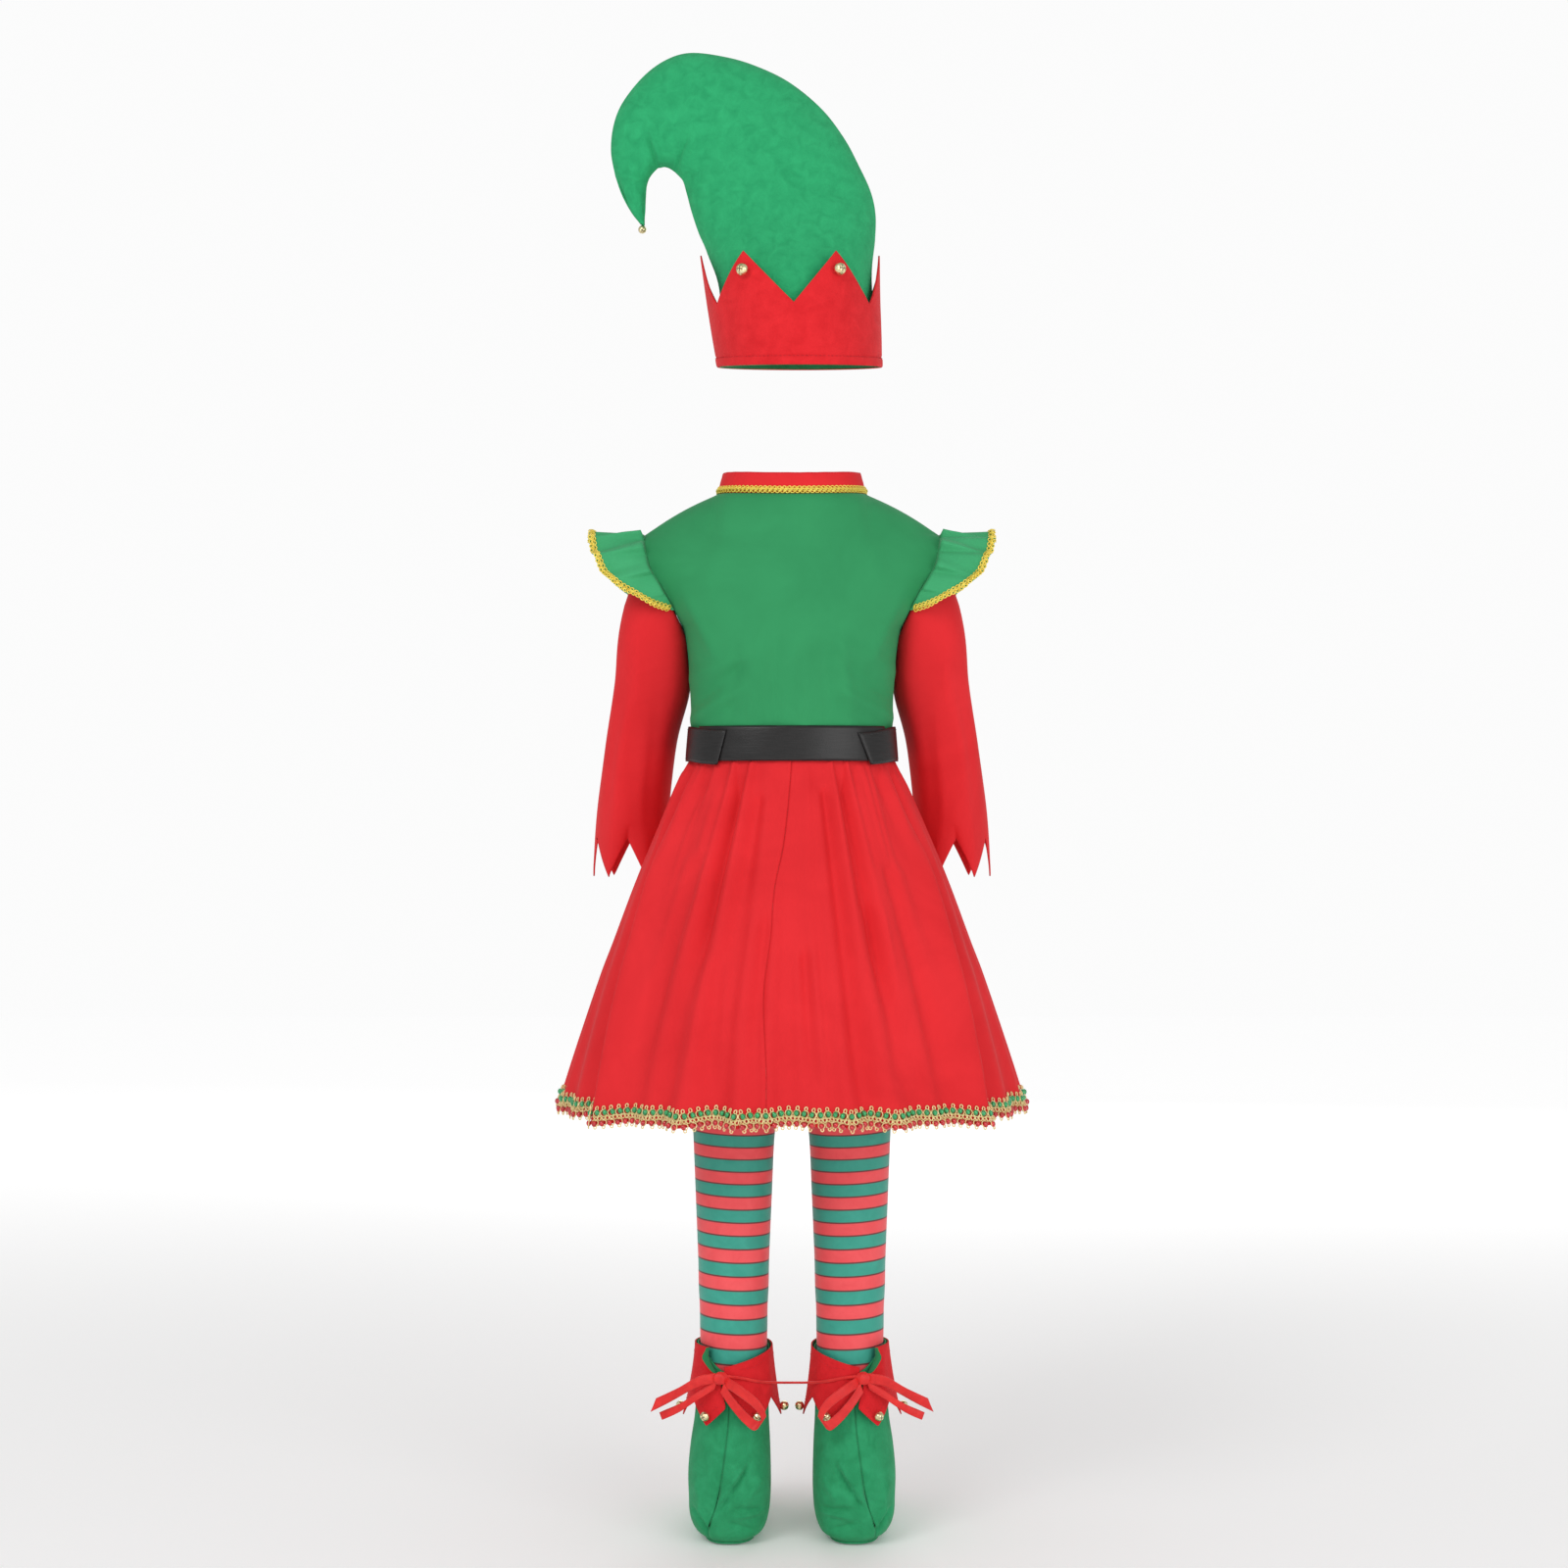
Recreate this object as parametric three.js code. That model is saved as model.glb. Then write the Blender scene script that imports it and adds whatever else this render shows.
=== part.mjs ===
// An elf costume as it is worn, standing: a curled felt hat, a dress with flutter caps and flared
// sleeves, a belt, striped tights and a pair of felt shoe covers. Millimetres, +Z up, the front of
// the costume towards +Y. Every cloth piece is a thin closed wall, worked out from its sizes.
import * as THREE from "three";
import { mergeVertices } from "three/addons/utils/BufferGeometryUtils.js";

// Heights above the floor
const HAT_BRIM = 1190;
const COLLAR_HEIGHT = 20;
const COLLAR_LIFT = 1.3;
const NECK_POINT = 1060;
const NECK_BACK = 1055;
const NECK_FRONT = 1040;
const SHOULDER_TIP = 1018;
const UNDERARM = 925;
const BELT_TOP = 823;
const WAIST = 792;
const BELT_BOTTOM = 788;
const SKIRT_HEM = 440;
const TRIM_TOP = 457;
const TRIM_BOTTOM = 434;
const TIGHTS_WAIST = 800;
const LEGS_JOINED = 690;
const CROTCH = 575;
const SHOE_TOP = 197;
const SHOE_SLIT_END = 143;
const SOLE_THICKNESS = 2.5;

// Widths and depths
const NECK_HALF_WIDTH = 75;
const NECK_HALF_DEPTH = 62;
const SHOULDER_HALF_WIDTH = 151;
const ARMHOLE_HALF_DEPTH = 42;
const RUFFLE_WIDTH = 56;
const RUFFLE_REACH = THREE.MathUtils.degToRad(128);
const RUFFLE_WAVES = 9;
const RUFFLE_WAVE_HEIGHT = 5;
const RUFFLE_ROOT_WIDTH = 2;
const BRAID_WIDTH = 6.5;
const RIBBON_WIDTH = 10.5;
const LOOP_WIDTH = 8.4;
const CUFF_POINTS = 6;
const BELT_STAND_TOP = 1.4;
const BELT_STAND_BOTTOM = 3.4;
const BELT_END_DROP = 4;
const LINK_WIDTH = 3;

// Cloth thicknesses and the gaps at seams
const CLOTH = 1.5;
const KNIT = 1;
const LEATHER = 2;
const BRAID = 1.5;
const RUFFLE_CLOTH = 1.2;
const RIBBON = 1;
const SEAM_GAP = 0.3;
const HALF_GAP = SEAM_GAP / 2;
const LAY_GAP = 0.6;
const BELL_GAP = 0.4;
const INSTEP_BELL_GAP = 1.9;
const TRIM_GAP = 0.9;

// Grid steps
const ARMHOLE_STEPS = 12;
const BODICE_STEPS = 3;
const GATHERS = 24;
const RUFFLE_STEPS = 36;
const SKIRT_ROWS = [SKIRT_HEM, 560, 670, 745, 780, WAIST];

const TORSO_POWER = 2.3;
const SKIRT_POWER = 2.1;
const SHOULDER_ROUNDING = 2.4;
const COLLAR_LEAN = 0.06;
const { degToRad, smoothstep, clamp, lerp } = THREE.MathUtils;

// Torso sections: half width, depth to the back and depth to the front
const TORSO = [
  { height: 780, width: 103.5, back: 80, front: 82 },
  { height: 823, width: 102.5, back: 81, front: 82 },
  { height: 865, width: 104, back: 86, front: 84 },
  { height: 900, width: 106.5, back: 90, front: 87 },
  { height: 925, width: 112, back: 91, front: 89 },
  { height: 962, width: 131, back: 90, front: 90 },
  { height: 985, width: 144, back: 87, front: 88 },
  { height: 1018, width: 151, back: 82, front: 84 },
];

// Skirt sections
const SKIRT = [
  { height: 430, width: 238, back: 197, front: 190 },
  { height: 461, width: 229, back: 188, front: 181 },
  { height: 505, width: 215, back: 176, front: 170 },
  { height: 574, width: 192, back: 158, front: 152 },
  { height: 603, width: 181, back: 147, front: 143 },
  { height: 675, width: 155, back: 124, front: 121 },
  { height: 740, width: 128, back: 101, front: 101 },
  { height: 775, width: 112, back: 87, front: 88 },
  { height: 792, width: 103, back: 80, front: 82 },
];

// Long folds of the skirt, the same on the left and the right: degrees from the centre back
const SKIRT_FOLDS = [
  { at: 5, halfWidth: 2.6, rise: 6 },
  { at: 12.5, halfWidth: 3.2, rise: 7 },
  { at: 23.5, halfWidth: 4.5, rise: 9 },
  { at: 34, halfWidth: 4, rise: 5 },
  { at: 46, halfWidth: 5, rise: 11 },
  { at: 62, halfWidth: 6, rise: 7 },
  { at: 78, halfWidth: 5, rise: 7 },
  { at: 96, halfWidth: 6, rise: 8 },
  { at: 113, halfWidth: 5, rise: 7 },
  { at: 130, halfWidth: 6, rise: 10 },
  { at: 146, halfWidth: 5, rise: 7 },
  { at: 160, halfWidth: 4.5, rise: 8 },
  { at: 173, halfWidth: 3.5, rise: 7 },
];

// Right sleeve, from the hem up: the centre of each section and its two half axes. The first half
// axis points to the outer side and climbs by rise, the second lies along Y.
const SLEEVE = [
  { step: 0, x: 171, y: 92, z: 668, out: 40, rise: 0, deep: 41 },
  { step: 0.24, x: 167, y: 80, z: 735, out: 39, rise: 0, deep: 40 },
  { step: 0.48, x: 157.5, y: 54, z: 804, out: 37.5, rise: 1, deep: 39 },
  { step: 0.68, x: 147, y: 27, z: 863, out: 36.5, rise: 4, deep: 39 },
  { step: 0.86, x: 142.5, y: 5, z: 917, out: 32.5, rise: 14, deep: 39 },
  { step: 1, x: 131.5, y: 0, z: 971.5, out: 19.5, rise: 46.5, deep: 42 },
];
const SLEEVE_POINT_DEPTH = 40;

// Hat crown, from the brim to the tip: the outer edge, the inner edge and the half depth
const CROWN = [
  { outX: 89, outZ: 1192, inX: -73, inZ: 1190, deep: 92 },
  { outX: 81, outZ: 1275, inX: -73, inZ: 1265, deep: 80 },
  { outX: 84.5, outZ: 1320, inX: -86, inZ: 1307, deep: 60 },
  { outX: 85, outZ: 1346, inX: -95, inZ: 1328, deep: 49 },
  { outX: 80, outZ: 1369, inX: -102, inZ: 1349, deep: 43 },
  { outX: 68, outZ: 1395, inX: -107, inZ: 1368, deep: 39 },
  { outX: 53, outZ: 1423, inX: -111, inZ: 1381, deep: 36 },
  { outX: 30, outZ: 1453, inX: -118, inZ: 1389, deep: 33 },
  { outX: -3, outZ: 1480, inX: -124, inZ: 1393.5, deep: 31 },
  { outX: -38, outZ: 1497, inX: -129, inZ: 1395.5, deep: 29 },
  { outX: -69, outZ: 1506, inX: -133, inZ: 1395.5, deep: 27 },
  { outX: -103, outZ: 1510, inX: -137, inZ: 1394, deep: 25 },
  { outX: -128, outZ: 1503, inX: -141, inZ: 1390.5, deep: 23 },
  { outX: -151, outZ: 1486.5, inX: -144.5, inZ: 1386, deep: 21 },
  { outX: -171.5, outZ: 1461, inX: -147, inZ: 1381, deep: 18 },
  { outX: -181, outZ: 1438, inX: -148.5, inZ: 1375, deep: 15 },
  { outX: -184, outZ: 1413, inX: -149.3, inZ: 1367, deep: 12.5 },
  { outX: -181, outZ: 1392, inX: -149.8, inZ: 1359, deep: 10 },
  { outX: -174, outZ: 1369, inX: -150, inZ: 1351, deep: 7.5 },
  { outX: -164, outZ: 1349, inX: -150.3, inZ: 1343, deep: 5 },
  { outX: -154.5, outZ: 1336, inX: -150, inZ: 1335, deep: 3.2 },
];

// Hat cuff sections, measured up from its lower edge
const HAT_CUFF = [
  { rise: 0, shift: 8, width: 84, deep: 95 },
  { rise: 30, shift: 5, width: 86.5, deep: 95 },
  { rise: 70, shift: 1, width: 89, deep: 93 },
  { rise: 120, shift: -3, width: 92, deep: 89 },
];
const HAT_TILT = 12;
const HAT_VALLEY = 62;
const HAT_PEAK = 114;

// Shoe cover sections: centre in x, half width, how far it goes back and forward, and roundness
const SHOE = [
  { height: 2.8, x: 63, width: 25, back: 39, front: 122, power: 2.6 },
  { height: 9, x: 63, width: 34, back: 46, front: 140, power: 2.6 },
  { height: 24, x: 63.5, width: 40, back: 51, front: 148, power: 2.6 },
  { height: 44, x: 63.5, width: 42, back: 53, front: 136, power: 2.6 },
  { height: 66, x: 63.5, width: 42, back: 53, front: 108, power: 2.6 },
  { height: 95, x: 62.5, width: 40, back: 50, front: 72, power: 2.3 },
  { height: 125, x: 61, width: 37.5, back: 44, front: 47, power: 2 },
  { height: 160, x: 60, width: 36.6, back: 38, front: 38.5, power: 2 },
  { height: 197, x: 59.3, width: 36.8, back: 36.8, front: 36.8, power: 2 },
];

// Right leg of the tights, foot included
const LEG = [
  { height: 2.9, x: 63, width: 16, back: 28, front: 108, power: 2.6 },
  { height: 10, x: 63, width: 28, back: 40, front: 131, power: 2.6 },
  { height: 24, x: 63.5, width: 34, back: 45, front: 138, power: 2.6 },
  { height: 44, x: 63.5, width: 36, back: 47, front: 124, power: 2.6 },
  { height: 66, x: 63, width: 35, back: 46, front: 90, power: 2.6 },
  { height: 95, x: 61.5, width: 34, back: 43, front: 57, power: 2.3 },
  { height: 125, x: 60, width: 33.2, back: 37.5, front: 39, power: 2 },
  { height: 165, x: 59.3, width: 33.3, back: 33.5, front: 34, power: 2 },
  { height: 197, x: 59.3, width: 34, back: 34, front: 34, power: 2 },
  { height: 282, x: 59.3, width: 36.3, back: 37, front: 36, power: 2 },
  { height: 349, x: 59.2, width: 39, back: 39.5, front: 38.5, power: 2 },
  { height: 406, x: 59, width: 41.5, back: 42, front: 41.5, power: 2 },
  { height: 490, x: 56.5, width: 47.5, back: 48, front: 48, power: 2 },
  { height: 574, x: 53.5, width: 52.5, back: 54, front: 54, power: 2 },
];

// Upper part of the tights: half width and half depth
const TIGHTS_TOP = [
  { height: CROTCH, width: 106, deep: 66 },
  { height: 640, width: 108, deep: 80 },
  { height: 700, width: 106, deep: 82 },
  { height: 760, width: 101, deep: 79 },
  { height: TIGHTS_WAIST, width: 100, deep: 77.5 },
];

// Reads every column of a table at a value of its key column, on a smooth curve through the rows.
function readTable(rows, key, value) {
  const last = rows.length - 1;
  let k = 0;
  while (k < last - 1 && value > rows[k + 1][key]) {
    k += 1;
  }
  const span = rows[k + 1][key] - rows[k][key];
  const t = clamp((value - rows[k][key]) / span, 0, 1);
  const slope = (i, name) => {
    const before = rows[Math.max(i - 1, 0)];
    const after = rows[Math.min(i + 1, last)];
    return ((after[name] - before[name]) / (after[key] - before[key])) * span;
  };
  const result = {};
  for (const name of Object.keys(rows[0])) {
    const start = (2 * t ** 3 - 3 * t ** 2 + 1) * rows[k][name];
    const end = (3 * t ** 2 - 2 * t ** 3) * rows[k + 1][name];
    const leave = (t ** 3 - 2 * t ** 2 + t) * slope(k, name);
    const arrive = (t ** 3 - t ** 2) * slope(k + 1, name);
    result[name] = start + end + leave + arrive;
  }
  return result;
}

const signedPower = (value, power) => Math.sign(value) * Math.abs(value) ** power;
const point = (x, y, z) => new THREE.Vector3(x, y, z);

// The way out of a surface place(u, v) at one of its points, where u runs round or across it
// anticlockwise seen from above, and v runs up it.
function outwards(place, u, v) {
  const step = 1e-3;
  const u0 = Math.max(u - step, place.closed ? -1 : 0);
  const u1 = Math.min(u + step, place.closed ? 2 : 1);
  const v0 = Math.max(v - step, 0);
  const v1 = Math.min(v + step, 1);
  const across = place(u1, v).sub(place(u0, v));
  const up = place(u, v1).sub(place(u, v0));
  return across.cross(up).normalize();
}

// The same surface, moved out by a distance.
function movedOut(place, distance) {
  const moved = (u, v) => place(u, v).addScaledVector(outwards(place, u, v), distance);
  moved.closed = place.closed;
  return moved;
}

// A closed cloth wall on the surface place(u, v), with its thickness to the inside. Where the
// surface is closed its columns go all round. A foot closes the lower end with a fan of cloth.
function clothWall(place, { columns, rows, thickness, inner, foot = false }) {
  const inside = inner ?? movedOut(place, -thickness);
  const closed = place.closed === true;
  const across = closed ? columns : columns + 1;
  const positions = [];
  const triangles = [];
  const centre = [point(0, 0, 0), point(0, 0, 0)];
  [place, inside].forEach((surface, side) => {
    for (let j = 0; j <= rows; j += 1) {
      for (let i = 0; i < across; i += 1) {
        const p = surface(i / columns, j / rows);
        positions.push(p.x, p.y, p.z);
        if (j === 0) {
          centre[side].addScaledVector(p, 1 / across);
        }
      }
    }
  });
  const half = across * (rows + 1);
  const outer = (i, j) => j * across + (i % across);
  const back = (i, j) => half + outer(i, j);
  const quad = (a, b, c, d) => triangles.push(a, b, c, a, c, d);
  for (let i = 0; i < columns; i += 1) {
    for (let j = 0; j < rows; j += 1) {
      quad(outer(i, j), outer(i + 1, j), outer(i + 1, j + 1), outer(i, j + 1));
      quad(back(i, j), back(i, j + 1), back(i + 1, j + 1), back(i + 1, j));
    }
    quad(outer(i, rows), outer(i + 1, rows), back(i + 1, rows), back(i, rows));
    if (foot) {
      triangles.push(2 * half, outer(i + 1, 0), outer(i, 0));
      triangles.push(2 * half + 1, back(i, 0), back(i + 1, 0));
    } else {
      quad(outer(i, 0), back(i, 0), back(i + 1, 0), outer(i + 1, 0));
    }
  }
  if (foot) {
    centre.forEach((p) => positions.push(p.x, p.y, p.z));
  }
  if (!closed) {
    for (let j = 0; j < rows; j += 1) {
      quad(outer(0, j), outer(0, j + 1), back(0, j + 1), back(0, j));
      quad(outer(columns, j), back(columns, j), back(columns, j + 1), outer(columns, j + 1));
    }
  }
  const geometry = new THREE.BufferGeometry();
  geometry.setAttribute("position", new THREE.Float32BufferAttribute(positions, 3));
  geometry.setIndex(triangles);
  return geometry;
}

// The same piece for the left side of the body.
function mirrored(geometry) {
  const copy = mergeVertices(geometry);
  copy.scale(-1, 1, 1);
  const index = copy.getIndex();
  for (let i = 0; i < index.count; i += 3) {
    const second = index.getX(i + 1);
    index.setX(i + 1, index.getX(i + 2));
    index.setX(i + 2, second);
  }
  return copy;
}

const material = (color, roughness, metalness = 0) =>
  new THREE.MeshStandardMaterial({ color, roughness, metalness });
const greenFelt = material(0x2ba568, 0.95);
const greenCloth = material(0x379b5f, 0.8);
const redCloth = material(0xe02830, 0.8);
const redRibbon = material(0xea2a2c, 0.6);
const blackLeather = material(0x323030, 0.5);
const goldBraid = material(0xe0c040, 0.5, 0.3);
const greenKnit = material(0x2f9a7c, 0.7);
const goldMetal = material(0xd9c586, 0.3, 0.9);

const costume = new THREE.Group();
costume.position.z = -NECK_POINT;

function add(name, geometry, finish) {
  geometry.computeVertexNormals();
  const mesh = new THREE.Mesh(geometry, finish);
  mesh.name = name;
  costume.add(mesh);
  return mesh;
}

function addPair(name, geometry, finish) {
  add(`${name}_right`, geometry, finish);
  add(`${name}_left`, mirrored(geometry), finish);
}

// Turns an angle round a section, anticlockwise from +x, into a point of a rounded oval.
function ovalPoint(angle, width, back, front, height, power = 2) {
  const x = width * signedPower(Math.cos(angle), 2 / power);
  const deep = Math.sin(angle) < 0 ? back : front;
  return point(x, deep * signedPower(Math.sin(angle), 2 / power), height);
}

// Bodice: a back and a front, sewn at the shoulders and below the arms. Each column of the panel
// climbs from the waist to the neckline or the shoulder seam, and its side edge is the armhole.
const ARMHOLE_MIDDLE = (UNDERARM + SHOULDER_TIP) / 2;
const ARMHOLE_HALF_HEIGHT = (SHOULDER_TIP - UNDERARM) / 2;

function armholeDepth(height) {
  const t = clamp((height - ARMHOLE_MIDDLE) / ARMHOLE_HALF_HEIGHT, -1, 1);
  return ARMHOLE_HALF_DEPTH * Math.sqrt(1 - t * t);
}

function bodicePlace(side) {
  const lowerShare = BODICE_STEPS / (BODICE_STEPS + ARMHOLE_STEPS);
  const neckMiddle = side < 0 ? NECK_BACK : NECK_FRONT;
  return (u, v) => {
    const angle = Math.PI * u + (side < 0 ? Math.PI : 0);
    const sideways = signedPower(Math.cos(angle), 2 / TORSO_POWER);
    const deepness = Math.abs(Math.sin(angle)) ** (2 / TORSO_POWER);
    const reach = Math.abs(sideways) * SHOULDER_HALF_WIDTH;
    const inNeck = clamp(reach / NECK_HALF_WIDTH, 0, 1);
    const onShoulder = clamp((reach - NECK_HALF_WIDTH) / (SHOULDER_HALF_WIDTH - NECK_HALF_WIDTH), 0, 1);
    const neckline = lerp(neckMiddle, NECK_POINT, inNeck ** 2);
    const top = neckline + (SHOULDER_TIP - NECK_POINT) * onShoulder;
    const upper = (v - lowerShare) / (1 - lowerShare);
    const climb = (1 - Math.cos(Math.PI * Math.max(upper, 0))) / 2;
    const below = WAIST + SEAM_GAP + (UNDERARM - WAIST - SEAM_GAP) * (v / lowerShare);
    const height = upper > 0 ? lerp(UNDERARM, top, climb) : below;
    const torso = readTable(TORSO, "height", height);
    const torsoDeep = side < 0 ? torso.back : torso.front;
    const neckDeep = NECK_HALF_DEPTH * Math.sqrt(1 - inNeck ** 2);
    const closing = clamp((height - UNDERARM) / (top - UNDERARM), 0, 1);
    const rounded = (1 - closing ** SHOULDER_ROUNDING) ** (1 / SHOULDER_ROUNDING);
    const panelDeep = neckDeep + (torsoDeep - neckDeep) * rounded;
    const deep = armholeDepth(height) * (1 - deepness) + panelDeep * deepness;
    return point(torso.width * sideways, side * (deep + HALF_GAP), height);
  };
}

const bodiceGrid = { columns: 16, rows: BODICE_STEPS + ARMHOLE_STEPS, thickness: CLOTH };
add("bodice_back", clothWall(bodicePlace(-1), bodiceGrid), greenCloth);
add("bodice_front", clothWall(bodicePlace(1), bodiceGrid), greenCloth);

// Collar: a low standing band on the neckline, with a gold braid sewn round its foot.
function collarPlace(low, high) {
  const place = (u, v) => {
    const angle = 2 * Math.PI * u;
    const p = ovalPoint(angle, NECK_HALF_WIDTH, NECK_HALF_DEPTH, NECK_HALF_DEPTH, 0);
    const middle = p.y < 0 ? NECK_BACK : NECK_FRONT;
    const foot = lerp(middle, NECK_POINT, (p.x / NECK_HALF_WIDTH) ** 2) + COLLAR_LIFT;
    const rise = lerp(low, high, v);
    const lean = 1 - COLLAR_LEAN * rise / COLLAR_HEIGHT;
    return point(p.x * lean, p.y * lean, foot + rise);
  };
  place.closed = true;
  return place;
}
const collarGrid = { columns: 24, rows: 1 };
add("collar", clothWall(collarPlace(0, COLLAR_HEIGHT), { ...collarGrid, thickness: CLOTH }), redCloth);
const neckBraid = movedOut(collarPlace(0.4, BRAID_WIDTH), BRAID + SEAM_GAP);
add("neck_braid", clothWall(neckBraid, { ...collarGrid, thickness: BRAID }), goldBraid);

// Sleeves: flared tubes from the armhole, hanging a little forward, with a pointed hem.
function sleevePlace(inset) {
  const place = (u, v) => {
    const angle = 2 * Math.PI * u;
    const pointed = Math.abs(((u * CUFF_POINTS) % 1) * 2 - 1);
    const hemRise = (1 - pointed) * SLEEVE_POINT_DEPTH * Math.max(1 - v * 5, 0);
    const section = readTable(SLEEVE, "step", v);
    const reach = 1 - inset / Math.hypot(section.out, section.rise);
    const x = section.x + reach * section.out * Math.cos(angle);
    const z = section.z + reach * section.rise * Math.cos(angle) + hemRise;
    const atArmhole = smoothstep(v, 0.8, 1);
    const bodySide = readTable(TORSO, "height", clamp(z, UNDERARM, SHOULDER_TIP)).width + LAY_GAP;
    const y = section.y + (section.deep - inset) * Math.sin(angle);
    return point(lerp(x, bodySide, atArmhole), y, z);
  };
  place.closed = true;
  return place;
}
const sleeveGrid = { columns: 2 * ARMHOLE_STEPS, rows: 7, inner: sleevePlace(CLOTH) };
addPair("sleeve", clothWall(sleevePlace(0), sleeveGrid), redCloth);

// Flutter caps: a gathered ruffle sewn into the armhole over the sleeve, widest on the shoulder.
const ruffleWidth = (angle) =>
  lerp(RUFFLE_WIDTH, RUFFLE_ROOT_WIDTH, (Math.abs(angle) / RUFFLE_REACH) ** 3.5);

function rufflePlace(u, v) {
  const angle = lerp(RUFFLE_REACH, -RUFFLE_REACH, u);
  const low = smoothstep(Math.abs(angle), degToRad(80), RUFFLE_REACH);
  const root = 1.8 + 3 * low;
  const height = ARMHOLE_MIDDLE + (ARMHOLE_HALF_HEIGHT + root) * Math.cos(angle);
  const y = (ARMHOLE_HALF_DEPTH + root) * Math.sin(angle);
  const x = readTable(TORSO, "height", clamp(height, UNDERARM, SHOULDER_TIP)).width + 1;
  const width = ruffleWidth(angle);
  const spread = (angle > 0 ? 0.5 : 0.32) * (1 + low);
  const out = point(1, spread * Math.sin(angle), -0.26 * Math.abs(Math.sin(angle)) + 0.02).normalize();
  const turns = RUFFLE_WAVES * Math.PI * (angle / RUFFLE_REACH);
  const wave = RUFFLE_WAVE_HEIGHT * (1 + Math.cos(turns)) * v * (width / RUFFLE_WIDTH);
  const p = point(x, y, height).addScaledVector(out, width * v);
  return p.add(point(0, Math.sin(angle), Math.cos(angle)).multiplyScalar(wave));
}
const ruffleGrid = { columns: RUFFLE_STEPS, rows: 2, thickness: RUFFLE_CLOTH };
addPair("ruffle", clothWall(rufflePlace, ruffleGrid), greenCloth);
const ruffleEdge = (u, v) => {
  const onRuffle = lerp(1 / RUFFLE_STEPS, 1 - 1 / RUFFLE_STEPS, u);
  const angle = lerp(RUFFLE_REACH, -RUFFLE_REACH, onRuffle);
  const width = ruffleWidth(angle);
  return rufflePlace(onRuffle, 1 - (1 - v) * Math.min(BRAID_WIDTH / width, 0.7));
};
const ruffleBraidGrid = { columns: RUFFLE_STEPS - 2, rows: 1, thickness: BRAID };
const ruffleBraid = clothWall(movedOut(ruffleEdge, BRAID + LAY_GAP), ruffleBraidGrid);
addPair("ruffle_braid", ruffleBraid, goldBraid);

// Skirt: gathered into the waist seam, with a centre back seam and two side seams. Small gathers
// fade below the belt and long folds grow towards the hem.
function skirtPoint(angle, height) {
  const section = readTable(SKIRT, "height", height);
  const { width, back, front } = section;
  const base = ovalPoint(angle, width, back, front, height, SKIRT_POWER);
  const fromBack = Math.abs((THREE.MathUtils.radToDeg(angle) + 450) % 360);
  const degrees = fromBack > 180 ? 360 - fromBack : fromBack;
  const fall = clamp((BELT_BOTTOM - height) / (BELT_BOTTOM - SKIRT_HEM), 0, 1.02);
  let rise = 0;
  for (const fold of SKIRT_FOLDS) {
    rise += fold.rise * Math.exp(-(((degrees - fold.at) / fold.halfWidth) ** 2));
  }
  const gather = clamp((BELT_BOTTOM - height) / 16, 0, 12);
  const small = 1.6 * Math.sin(GATHERS * angle) * gather * Math.exp(1 - gather);
  const out = point(base.x, base.y, 0).normalize();
  return base.addScaledVector(out, (rise - 4) * fall ** 0.8 + small);
}

function skirtPlace(from, to, low, high) {
  const place = (u, v) => skirtPoint(lerp(from, to, u), lerp(low, high, v));
  place.closed = to - from > 6.2;
  return place;
}
const seamTurn = 0.0018;
const skirtPanel = (name, from, to, columns) => {
  const steps = SKIRT_ROWS.length - 1;
  const start = degToRad(from) + seamTurn;
  const end = degToRad(to) - seamTurn;
  const place = (u, v) => {
    const row = Math.min(Math.floor(v * steps + 1e-6), steps - 1);
    const height = lerp(SKIRT_ROWS[row], SKIRT_ROWS[row + 1], v * steps - row);
    return skirtPoint(lerp(start, end, u), height);
  };
  add(name, clothWall(place, { columns, rows: steps, thickness: CLOTH }), redCloth);
};
skirtPanel("skirt_back_left", -180, -90, GATHERS);
skirtPanel("skirt_back_right", -90, 0, GATHERS);
skirtPanel("skirt_front", 0, 180, 2 * GATHERS);
const trimPlace = movedOut(skirtPlace(-Math.PI, Math.PI, TRIM_BOTTOM, TRIM_TOP), BRAID + TRIM_GAP);
add("hem_trim", clothWall(trimPlace, { columns: 4 * GATHERS, rows: 1, thickness: BRAID }), goldBraid);

// Belt: a strip across the back, and a front strip whose two ends lap over it.
function beltPlace(from, to, lift, tilt) {
  return (u, v) => {
    const angle = degToRad(lerp(from, to, u));
    const atEnd = smoothstep(-Math.sin(angle), 0.3, 0.75);
    const height = lerp(BELT_BOTTOM, BELT_TOP, v) - tilt * atEnd;
    const torso = readTable(TORSO, "height", height);
    const stand = lerp(BELT_STAND_BOTTOM, BELT_STAND_TOP, v) + LEATHER;
    const p = ovalPoint(angle, torso.width, torso.back, torso.front, height, TORSO_POWER);
    const out = point(p.x, p.y, 0).normalize();
    return p.addScaledVector(out, stand + lift * smoothstep(-Math.sin(angle), 0.05, 0.35));
  };
}
const beltGrid = { rows: 1, thickness: LEATHER };
add("belt_back", clothWall(beltPlace(-150, -30, 0, 0), { ...beltGrid, columns: 16 }), blackLeather);
const beltLap = LEATHER + LAY_GAP + SEAM_GAP;
const beltFront = beltPlace(-52, 232, beltLap, BELT_END_DROP);
add("belt_front", clothWall(beltFront, { ...beltGrid, columns: 32 }), blackLeather);

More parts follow.
